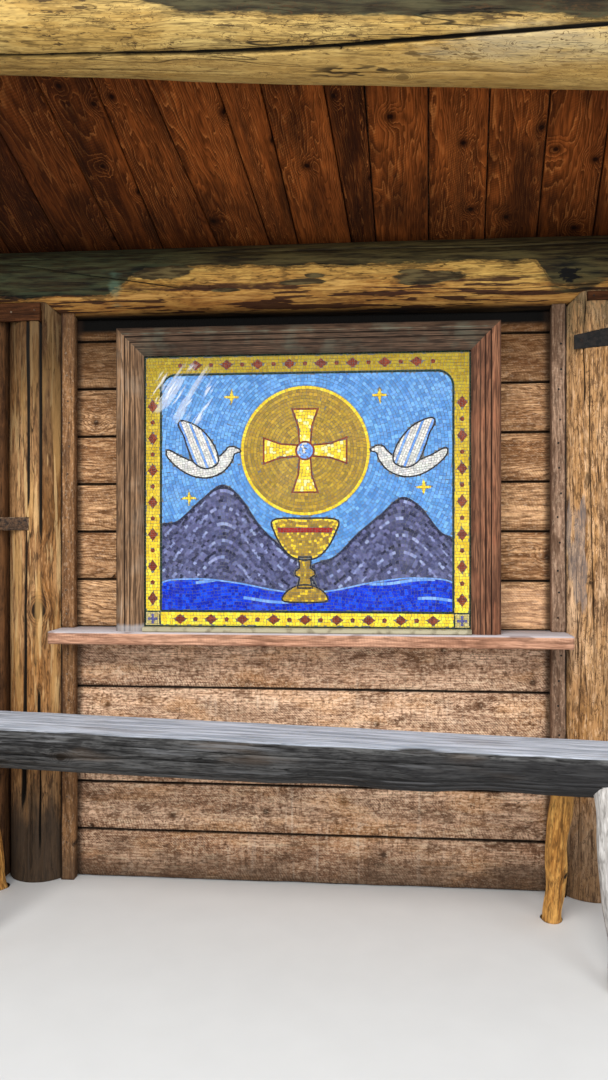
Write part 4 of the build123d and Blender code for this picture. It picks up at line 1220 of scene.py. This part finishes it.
# Mosaic. Outlines are in metres from the middle of the sill: x along the wall, y up
HALF_W = 0.66
FLOOR_Z = 1.076
OPEN_TOP = 1.126
TILE_FRONT, TILE_BACK = 0.3112, 0.3146
JOINT = 0.0013


def spline(points, per=10):
    """A closed smooth curve through points."""
    p = np.array(points, float)
    out = []
    n = len(p)
    for i in range(n):
        a, b, c, d = p[i - 1], p[i], p[(i + 1) % n], p[(i + 2) % n]
        for k in range(per):
            t = k / per
            out.append(0.5 * (2 * b + (c - a) * t + (2 * a - 5 * b + 4 * c - d) * t * t
                              + (3 * b - a - 3 * c + d) * t ** 3))
    return np.array(out)


def circle(x, y, r, n=64):
    a = np.arange(n) / n * TAU
    return np.stack([x + r * np.cos(a), y + r * np.sin(a)], 1)


def both_sides(right, *middle):
    """A closed outline from its right half. It starts at the mirror of the half's first point
    and then takes the points in the middle."""
    left = [(-x, y) for x, y in right]
    return [left[0], *middle, *right, *left[:0:-1]]


def four_turns(points, at):
    """A closed outline about a place, from the points of its first quarter."""
    out = []
    for _ in range(4):
        out += [(at[0] + x, at[1] + y) for x, y in points]
        points = [(-y, x) for x, y in points]
    return out


def polygon_distance(poly, p):
    """Signed distance of places from a closed outline, positive inside."""
    best = np.full(len(p), 1e9)
    inside = np.zeros(len(p), bool)
    for a, b in zip(poly, np.roll(poly, -1, 0)):
        e = b - a
        w = p - a
        t = np.clip((w @ e) / max(e @ e, 1e-12), 0, 1)
        best = np.minimum(best, np.hypot(*(w - t[:, None] * e).T))
        cross = (a[1] > p[:, 1]) != (b[1] > p[:, 1])
        with np.errstate(divide="ignore", invalid="ignore"):
            at = (b[0] - a[0]) * (p[:, 1] - a[1]) / (b[1] - a[1]) + a[0]
        inside ^= cross & (p[:, 0] < at)
    return np.where(inside, best, -best)


# How rows of tiles run. Each gives tiles of about w by h on and about an outline, whose box is
# from low to high: (x, y, direction x, direction y, length, width, row)
ROW_0 = 1000  # keeps the numbers of rows on both sides of a middle above 0
RING_SIZES, ROW_SIZES = (0.78, 1.25), (0.8, 1.22)  # the range of tiles' lengths, as shares


def outline_row(q, low, high, w, h):
    closed = np.vstack([q, q[:1]])
    seg = np.hypot(*np.diff(closed, axis=0).T)
    s = np.concatenate([[0], np.cumsum(seg)])
    count = max(3, int(s[-1] / w))
    out = []
    for k in range(count):
        at = (k + 0.5) / count * s[-1]
        j = min(np.searchsorted(s, at, side="right") - 1, len(seg) - 1)
        c = closed[j] + (closed[j + 1] - closed[j]) * ((at - s[j]) / seg[j])
        out.append((*c, *(closed[j + 1] - closed[j]) / seg[j], s[-1] / count, h, k))
    return out


def grid(q, low, high, w, h):
    wide, tall = high - low - 2 * h
    nx, ny = max(1, round(wide / w)), max(1, round(tall / h))
    wx, wy = wide / nx, tall / ny
    return [(low[0] + h + (i + 0.5) * wx, low[1] + h + (j + 0.5) * wy, 1, 0, wx, wy, j)
            for j in range(ny) for i in range(nx)]


def rings(cx, cy):
    def rows(q, low, high, w, h):
        corners = [(x, y) for x in (low[0], high[0]) for y in (low[1], high[1])]
        far = max(math.hypot(x - cx, y - cy) for x, y in corners)
        out = []
        k = 0
        while (k + 0.5) * h <= far:
            r = (k + 0.5) * h
            start = turn = RNG.uniform(0, TAU)
            while turn < start + TAU - w / r * 0.6:
                size = w * RNG.uniform(*RING_SIZES)
                a = turn + size / 2 / r
                out.append((cx + r * math.cos(a), cy + r * math.sin(a), -math.sin(a),
                            math.cos(a), size, h, k))
                turn += size / r
            k += 1
        return out
    return rows


def lines(angle):
    def rows(q, low, high, w, h):
        ex, ey = math.cos(angle), math.sin(angle)
        middle = (low + high) / 2
        reach = np.hypot(*(high - low)) / 2 + h
        count = int(reach / h) + 1
        out = []
        for k in range(-count, count + 1):
            u = -reach + RNG.uniform(0, w)
            while u < reach:
                size = w * RNG.uniform(*ROW_SIZES)
                at = u + size / 2
                out.append((middle[0] + at * ex - k * h * ey, middle[1] + at * ey + k * h * ex,
                            ex, ey, size, h, k + ROW_0))
                u += size
        return out
    return rows


def waves(f):
    def rows(q, low, high, w, h):
        out = []
        for k in range(-40, int((high[1] - low[1]) / h) + 12):
            u = low[0] + RNG.uniform(0, w)
            while u < high[0]:
                size = w * RNG.uniform(*ROW_SIZES)
                x = u + size / 2
                dy = (f(x + 0.003) - f(x - 0.003)) / 0.006
                n = math.hypot(1, dy)
                out.append((x, low[1] + k * h + f(x), 1 / n, dy / n, size, h, k + ROW_0))
                u += size / n
        return out
    return rows


class Layer:
    """A region of the mosaic: outlines, how its rows run, a tile's size, and its tones or a
    function that chooses one. With width it is a band along the outlines; minus is an outline
    that is cut out of it."""

    def __init__(self, polys, rows, tile, shade, width=None, minus=None):
        self.polys = [np.array(q, float) for q in polys]
        self.rows, self.tile, self.width, self.minus = rows, tile, width, minus
        self.shade = shade if callable(shade) else lambda *at: choose(shade)

    def distance(self, p):
        if self.width:
            return self.width / 2 - np.min([abs(polygon_distance(q, p)) for q in self.polys], 0)
        inside = np.max([polygon_distance(q, p) for q in self.polys], 0)
        if self.minus is None:
            return inside
        return np.minimum(inside, -polygon_distance(np.array(self.minus), p))

    def candidates(self):
        """The tiles that may lie in the region."""
        w, h = self.tile
        out = []
        for q in self.polys:
            low, high = q.min(0) - h, q.max(0) + h
            out += [t for t in self.rows(q, low, high, w, h)
                    if low[0] <= t[0] <= high[0] and low[1] <= t[1] <= high[1]]
        return np.array(out)


def band(polys, long_, width, tones):
    return Layer(polys, outline_row, (long_, width), tones, width)


# Outlines
arc = [(0.592 - 0.062 + 0.062 * math.cos(a), 0.985 + 0.064 * math.sin(a))
       for a in np.linspace(0.2, 1.4, 6)]
FIELD = both_sides([(0.592, 0.084), (0.592, 0.985), *arc, (0.530, 1.049)])
FULL = [(-HALF_W, 0.020), (HALF_W, 0.020), (HALF_W, OPEN_TOP), (-HALF_W, OPEN_TOP)]
SUN = (0.0, 0.735)
SUN_R = 0.262
hill_left = spline([(-0.62, 0.05), (-0.62, 0.40), (-0.52, 0.455), (-0.42, 0.545),
                    (-0.335, 0.60), (-0.26, 0.545), (-0.18, 0.43), (-0.08, 0.335), (0.02, 0.24),
                    (0.04, 0.05)])
hill_right = spline([(0.62, 0.05), (0.62, 0.34), (0.54, 0.41), (0.46, 0.51), (0.385, 0.545),
                     (0.30, 0.475), (0.21, 0.40), (0.12, 0.31), (0.0, 0.25), (-0.06, 0.05)])
water = spline([(-0.60, 0.05), (-0.60, 0.19), (-0.45, 0.215), (-0.28, 0.20), (-0.12, 0.17),
                (0.0, 0.16), (0.12, 0.172), (0.28, 0.205), (0.45, 0.222), (0.60, 0.195),
                (0.60, 0.05)])
bowl = spline(both_sides([(0.128, 0.455), (0.122, 0.40), (0.085, 0.335), (0.036, 0.298)],
                         (0.0, 0.462)))
stem = both_sides([(0.026, 0.305), (0.022, 0.262), (0.040, 0.248), (0.040, 0.232),
                   (0.022, 0.220), (0.030, 0.180)])
foot = spline(both_sides([(0.088, 0.128), (0.075, 0.165), (0.028, 0.190)], (0.0, 0.122)))
body = spline([(-0.262, 0.735), (-0.285, 0.752), (-0.312, 0.752), (-0.335, 0.728),
               (-0.375, 0.700), (-0.435, 0.690), (-0.500, 0.712), (-0.560, 0.742),
               (-0.566, 0.715), (-0.520, 0.668), (-0.460, 0.635), (-0.395, 0.628),
               (-0.335, 0.652), (-0.298, 0.695), (-0.288, 0.722)])
wing = spline([(-0.355, 0.690), (-0.372, 0.760), (-0.430, 0.830), (-0.500, 0.862),
               (-0.520, 0.845), (-0.498, 0.800), (-0.480, 0.745), (-0.455, 0.690),
               (-0.405, 0.665)])
bodies = [body, body * (-1, 1)]
wings = [wing, wing * (-1, 1)]
cross_arms = []
for turn in range(4):
    c, s = math.cos(turn * math.pi / 2), math.sin(turn * math.pi / 2)
    arm = [(0.020, 0.0), (0.028, 0.10), (0.052, 0.168), (-0.052, 0.168), (-0.028, 0.10),
           (-0.020, 0.0)]
    cross_arms.append([(SUN[0] + x * c - y * s, SUN[1] + x * s + y * c) for x, y in arm])
stars = [four_turns([(0, -0.030), (0.008, -0.008)], at)
         for at in ((-0.30, 0.955), (0.30, 0.955), (-0.475, 0.545), (0.475, 0.585))]

BORDER_X, BORDER_LOW, BORDER_HIGH = 0.6265, 0.0515, 1.087  # middles of the border's sides
corners = [(-BORDER_X, BORDER_LOW), (BORDER_X, BORDER_LOW)]
squares = [four_turns([(-0.030, -0.030)], at) for at in corners]
crosses = [four_turns([(-0.0055, -0.020), (0.0055, -0.020), (0.0055, -0.0055)], at)
           for at in corners]


def ornament(x, y, number, along, across):
    """By turns a lozenge and a disc along the border."""
    if number % 2:
        return circle(x, y, 0.0085, 10)
    return [(x - along, y), (x, y - across), (x + along, y), (x, y + across)]


ornaments = []
for k in range(17):
    for y, number in ((BORDER_LOW, k), (BORDER_HIGH, k + 1)):
        ornaments.append(ornament(-0.512 + k * 0.064, y, number, 0.027, 0.020))
for k in range(13):
    for x in (-BORDER_X, BORDER_X):
        ornaments.append(ornament(x, 0.135 + k * 0.0655, k, 0.020, 0.027))


# Tones of the tiles
def palette(*screen):
    return [rgb(*colour) for colour in screen]


SKY = palette((84, 136, 194), (93, 145, 202), (76, 127, 186), (104, 156, 210))
GOLD = palette((170, 138, 44), (158, 128, 46), (146, 118, 46), (132, 106, 46))
YELLOW = palette((222, 190, 44), (212, 178, 40), (230, 200, 60))
VIOLET = palette((80, 82, 116), (68, 70, 102), (94, 97, 134), (58, 60, 88))
SLATE = palette((38, 40, 64), (32, 34, 54))
MIST = palette((124, 132, 172), (112, 119, 158), (138, 147, 182))
DEEP = palette((6, 42, 180), (8, 56, 198), (4, 32, 154), (16, 70, 206))
LIGHT = palette((122, 160, 220), (96, 142, 214))
WHITE = palette((200, 198, 192), (184, 183, 180), (212, 210, 204))
BROWN = palette((120, 48, 26), (108, 42, 24), (134, 58, 30))
GREEN = palette((24, 48, 34), (20, 40, 32))
BLACK = palette((18, 20, 28), (26, 28, 38))
RED = palette((134, 26, 26), (150, 38, 32))
TONE_SPREAD = 0.11
BRIGHTEST = 0.78


def jitter(colour):
    k = 1 + RNG.uniform(-TONE_SPREAD, TONE_SPREAD)
    return tuple(min(BRIGHTEST, max(0, v * k * (1 + RNG.uniform(-TONE_SPREAD / 3,
                                                                TONE_SPREAD / 3))))
                 for v in colour)


def choose(tones):
    return tones[int(RNG.integers(len(tones)))]


# Each takes a tile's place, its distance from the outline and its row
def sun_shade(x, y, d, row):
    if math.hypot(x - SUN[0], y - SUN[1]) > SUN_R - 0.019:
        return choose(YELLOW)
    dim = 1.07 if row % 2 else 0.90
    return [v * dim for v in choose(GOLD[:3])]


def border_painted_shade(x, y, d, row):
    # painted shade: the border's yellow darkens towards the top
    dim = 1.22 - 0.76 * y / OPEN_TOP
    return [v * dim for v in choose(YELLOW)]


def hill_shade(x, y, d, row):
    if d < 0.012:
        return choose(SLATE)
    return choose({0: SLATE + VIOLET, 3: MIST + VIOLET}.get(row % 5, VIOLET))


def water_shade(x, y, d, row):
    crest = math.sin(x * 9 + row * 2.4) > 0.35
    return choose(LIGHT if row % 6 == 1 and crest else DEEP)


def bowl_shade(x, y, d, row):
    return choose(YELLOW if d < 0.010 else GOLD + YELLOW[:1])


def wing_shade(x, y, d, row):
    return choose(LIGHT if row % 4 == 0 else WHITE)


def left_slope(x):
    return 0.33 * math.exp(-((x + 0.335) / 0.20) ** 2)


def right_slope(x):
    return 0.28 * math.exp(-((x - 0.385) / 0.21) ** 2)


# From the back to the front: a layer cuts away what lies before it in the list
HUB = [circle(*SUN, 0.036)]
LAYERS = [
    Layer([FIELD], rings(*SUN), (0.0150, 0.0140), SKY),
    Layer([circle(*SUN, SUN_R)], rings(*SUN), (0.0140, 0.0131), sun_shade),
    Layer(cross_arms, rings(*SUN), (0.0125, 0.0131), YELLOW + palette((240, 226, 150))),
    band(cross_arms, 0.0135, 0.0065, BROWN),
    Layer(HUB, rings(*SUN), (0.012, 0.012), LIGHT + WHITE[:1]),
    band(HUB, 0.0135, 0.007, BROWN),
    Layer([hill_right], waves(right_slope), (0.0150, 0.0135), hill_shade),
    Layer([hill_left], waves(left_slope), (0.0150, 0.0135), hill_shade),
    Layer([water], waves(lambda x: 0.010 * math.sin(x * 16)), (0.0145, 0.0125), water_shade),
    band([water], 0.0145, 0.007, LIGHT),
    Layer(stars, lines(0.0), (0.010, 0.010), YELLOW),
    Layer([stem, foot], lines(0.0), (0.0115, 0.010), GOLD + YELLOW[1:2]),
    Layer([bowl], waves(lambda x: 2.2 * x * x), (0.012, 0.0105), bowl_shade),
    Layer([[(-0.108, 0.404), (0.108, 0.404), (0.112, 0.424), (-0.112, 0.424)]], grid,
          (0.012, 0.010), RED),
    band([foot, bowl, stem], 0.013, 0.006, BLACK),
    Layer(bodies, lines(0.15), (0.0115, 0.0095), WHITE),
    band(bodies, 0.012, 0.0055, BLACK),
    Layer(wings[:1], lines(1.95), (0.012, 0.0095), wing_shade),
    Layer(wings[1:], lines(-1.95), (0.012, 0.0095), wing_shade),
    band(wings, 0.012, 0.0055, BLACK),
    Layer([FULL], lines(0.0), (0.0125, 0.0125), border_painted_shade, minus=FIELD),
    band([FIELD], 0.0155, 0.0085, GREEN),
    Layer(ornaments, grid, (0.0098, 0.0098), BROWN),
    Layer(squares, grid, (0.010, 0.010), palette((186, 168, 96), (196, 182, 120))),
    band(squares, 0.013, 0.006, GREEN),
    Layer(crosses, grid, (0.010, 0.010), palette((96, 92, 150), (84, 82, 140))),
    band([FULL], 0.0155, 0.011, GREEN),
]


def clip_poly(poly, d, slope, keep):
    """The part of a polygon where keep <= d + slope . (place from the tile's centre)."""
    out = []
    over = [d + slope[0] * q[0] + slope[1] * q[1] - keep for q in poly]
    for a, b, va, vb in zip(poly, poly[1:] + poly[:1], over, over[1:] + over[:1]):
        if va >= 0:
            out.append(a)
        if (va >= 0) != (vb >= 0):
            t = va / (va - vb)
            out.append((a[0] + (b[0] - a[0]) * t, a[1] + (b[1] - a[1]) * t))
    return out


def area(poly):
    return 0.5 * abs(sum(a[0] * b[1] - b[0] * a[1] for a, b in zip(poly, poly[1:] + poly[:1])))


NEAR = 0.016  # an outline no further from a tile's centre than this may cut it
GONE = 0.012  # a centre so far beyond an outline leaves no tile
DELTA = 0.0008  # half the step over which a slope is taken
LEAST = 0.16  # share of its area that a cut tile keeps at least
WOBBLE, TILT, PROUD = 0.0006, 0.035, 0.0003  # how far corners, slopes and fronts stray
BACK_SPREAD = 1.02


def outlines_near(layer, above, p, own):
    """For the layer's own outline and those of the layers above it: where they are near, and
    their distance and its slope, positive on the side that stays."""
    out = []
    for other in [layer] + above:
        sign = 1 if other is layer else -1
        d = own if other is layer else other.distance(p)
        near = abs(d) < NEAR if other is layer else d > -NEAR
        if near.any():
            slope = np.zeros((len(p), 2))
            for axis, e in enumerate(((DELTA, 0), (0, DELTA))):
                rise = other.distance(p[near] + e) - other.distance(p[near] - e)
                slope[near, axis] = rise / (2 * DELTA)
            out.append((near, sign * d, sign * slope))
    return out


def lay_tiles():
    verts, faces, colours = [], [], []
    for number, layer in enumerate(LAYERS):
        c = layer.candidates()
        own = layer.distance(c[:, :2])
        keep = own > -0.5 * max(layer.tile)
        keep &= (abs(c[:, 0]) < HALF_W + 0.004) & (c[:, 1] > 0.014) & (c[:, 1] < OPEN_TOP + 0.006)
        c, own = c[keep], own[keep]
        limits = outlines_near(layer, LAYERS[number + 1:], c[:, :2], own)
        for i, (x, y, ux, uy, w, h, row) in enumerate(c):
            hw, hh = (w - JOINT) / 2, (h - JOINT) / 2
            poly = []
            for a, b in ((-hw, -hh), (hw, -hh), (hw, hh), (-hw, hh)):
                a += RNG.uniform(-WOBBLE, WOBBLE)
                b += RNG.uniform(-WOBBLE, WOBBLE)
                poly.append((a * ux - b * uy, a * uy + b * ux))
            for near, d, slope in limits:
                if near[i]:
                    poly = [] if d[i] < -GONE else clip_poly(poly, d[i], slope[i], JOINT / 2)
                if len(poly) < 3:
                    break
            if len(poly) < 3 or area(poly) < LEAST * w * h:
                continue
            colour = jitter(layer.shade(x, y, own[i], int(row)))
            tilt = RNG.uniform(-TILT, TILT, 2)
            out = TILE_FRONT + RNG.uniform(-PROUD, PROUD)
            base, n = len(verts), len(poly)
            verts += [(x + qx, out + tilt[0] * qx + tilt[1] * qy, FLOOR_Z + y + qy)
                      for qx, qy in poly]
            verts += [(x + qx * BACK_SPREAD, TILE_BACK, FLOOR_Z + y + qy * BACK_SPREAD)
                      for qx, qy in poly]
            faces.append([base + k for k in range(n)])
            for k in range(n):
                q = (k + 1) % n
                faces.append([base + k, base + n + k, base + n + q, base + q])
            colours += [(*colour, 1)] * (n + 1)
    return verts, faces, colours


material("glazed_tesserae")
p = place()
tint = attribute("tile", "Color")
tint = mix(step(noise(p, 160, 2), 0.35, 0.7) * 0.12, tint,
           mix(1.0, tint, (0.55, 0.55, 0.6), "MULTIPLY"))
dust = step(noise(p, 7, 4, 0.6), 0.5, 0.75)
surface(Base_Color=coats(tint, (dust * 0.04, 190, 190, 186)), Roughness=0.42 + dust * 0.25,
        Normal=bump(noise(p, 420, 2), 0.12, 0.0008), Specular_IOR_Level=0.06)
verts, faces, colours = lay_tiles()
tiles = mesh_piece("tesserae", verts, faces, (M["glazed_tesserae"],))
tile_colour = tiles.data.attributes.new("tile", "FLOAT_COLOR", "FACE")
tile_colour.data.foreach_set("color", np.array(colours, np.float32).ravel())

# The bed of grout, a slightly uneven sheet with the panel behind it
material("grout")
p = place()
surface(Base_Color=mix(noise(p, 60, 3), rgb(84, 84, 84), rgb(116, 116, 114)), Roughness=0.9,
        Normal=bump(noise(p, 900, 3), 0.5, 0.0006))
BED_FRONT, BED_BACK = 0.3132, 0.335
COLS, ROWS = 120, 100
(x0, _, z0), (x1, _, z1) = box("mosaic_panel")
x, z = np.meshgrid(np.linspace(x0, x1, COLS), np.linspace(z0, z1, ROWS))
front = stack(x, BED_FRONT + 0.0005 * fbm(stack(x * 40, z * 40, 0.0), 3, 2), z).reshape(-1, 3)
back = [(x0, BED_BACK, z0), (x1, BED_BACK, z0), (x1, BED_BACK, z1), (x0, BED_BACK, z1)]
n = len(front)
at = np.arange(n).reshape(ROWS, COLS)
faces = np.stack([at[:-1, :-1], at[:-1, 1:], at[1:, 1:], at[1:, :-1]], -1).reshape(-1, 4).tolist()
faces.append([n + 3, n + 2, n + 1, n])
for a, b, edge in ((0, 1, at[0, ::-1]), (2, 3, at[-1]), (1, 2, at[::-1, -1]), (3, 0, at[:, 0])):
    faces.append([n + a, n + b, *edge.tolist()])
mesh_piece("mosaic_bed", np.vstack([front, back]), faces, (M["grout"],),
           ["mosaic_panel"])

# CAD nodes that stay
LOOK = {"frame_top": "frame_top_wood", "frame_left": "frame_left_wood",
        "frame_right": "frame_right_wood", "case_side_left": "case_wood",
        "case_side_right": "case_wood", "case_top": "case_wood", "backing_board": "backing_wood",
        "clear_cover": "clear_cover_sheet", "sill_strip": "sill_aluminium",
        "tie_strap_left": "strap_iron", "tie_strap_right": "strap_iron",
        "roof_cover_battens": "roof_battens_wood"}
for name, look in LOOK.items():
    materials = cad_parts[name].data.materials
    materials.clear()
    materials.append(M[look])


# Floor, light and camera
def add_object(name, data, at=(0, 0, 0)):
    o = bpy.data.objects.new(name, data)
    bpy.context.scene.collection.objects.link(o)
    o.location = at
    return o


material("floor")
surface(Base_Color=mix(noise(place(), 6, 4), rgb(206, 206, 205), rgb(214, 214, 213)),
        Roughness=0.9)
mesh = bpy.data.meshes.new("floor")
mesh.from_pydata([(x, y, -0.0005) for x, y in ((-14, -14), (14, -14), (14, 14), (-14, 14))], [],
                 [(0, 1, 2, 3)])
mesh.materials.append(M["floor"])
floor = add_object("floor", mesh)

# The sky lights the scene less than it shows
world = bpy.data.worlds.new("sky")
bpy.context.scene.world = world
world.use_nodes = True
TREE = world.node_tree
TREE.nodes.clear()
ray = outputs(node("LightPath", {}))
seen = most(most(S(ray["Is Camera Ray"]), S(ray["Is Glossy Ray"])), S(ray["Is Transmission Ray"]))
sky = node("Background", {0: mix(seen, (0.86, 0.93, 1.0), (1.0, 1.0, 1.0)), 1: 0.75 + seen * 0.25})
put(TREE.nodes.new("ShaderNodeOutputWorld").inputs[0], sky)

for name, at, to, size, watts, colour in (
        ("key", (-1.0, -4.8, 5.2), (0.1, 0.4, 1.4), 4.0, 400, (1.0, 0.98, 0.95)),
        ("fill", (3.0, -4.6, 2.0), (0.2, 0.4, 1.5), 3.0, 130, (0.96, 0.98, 1.0))):
    light = bpy.data.lights.new(name, "AREA")
    light.shape = "DISK"
    light.size = size
    light.energy = watts
    light.color = colour
    lamp = add_object(name, light, at)
    lamp.rotation_euler = (Vector(to) - Vector(at)).to_track_quat("-Z", "Y").to_euler()

camera = bpy.data.cameras.new("camera")
camera.lens = 27.03
camera.sensor_width = 36
viewer = add_object("camera", camera, (0.27, WALL_Y - 3.4106, 1.45))
viewer.rotation_euler = (math.radians(90), 0, math.radians(4.8))
bpy.context.scene.camera = viewer
bpy.context.scene.view_settings.view_transform = "Standard"
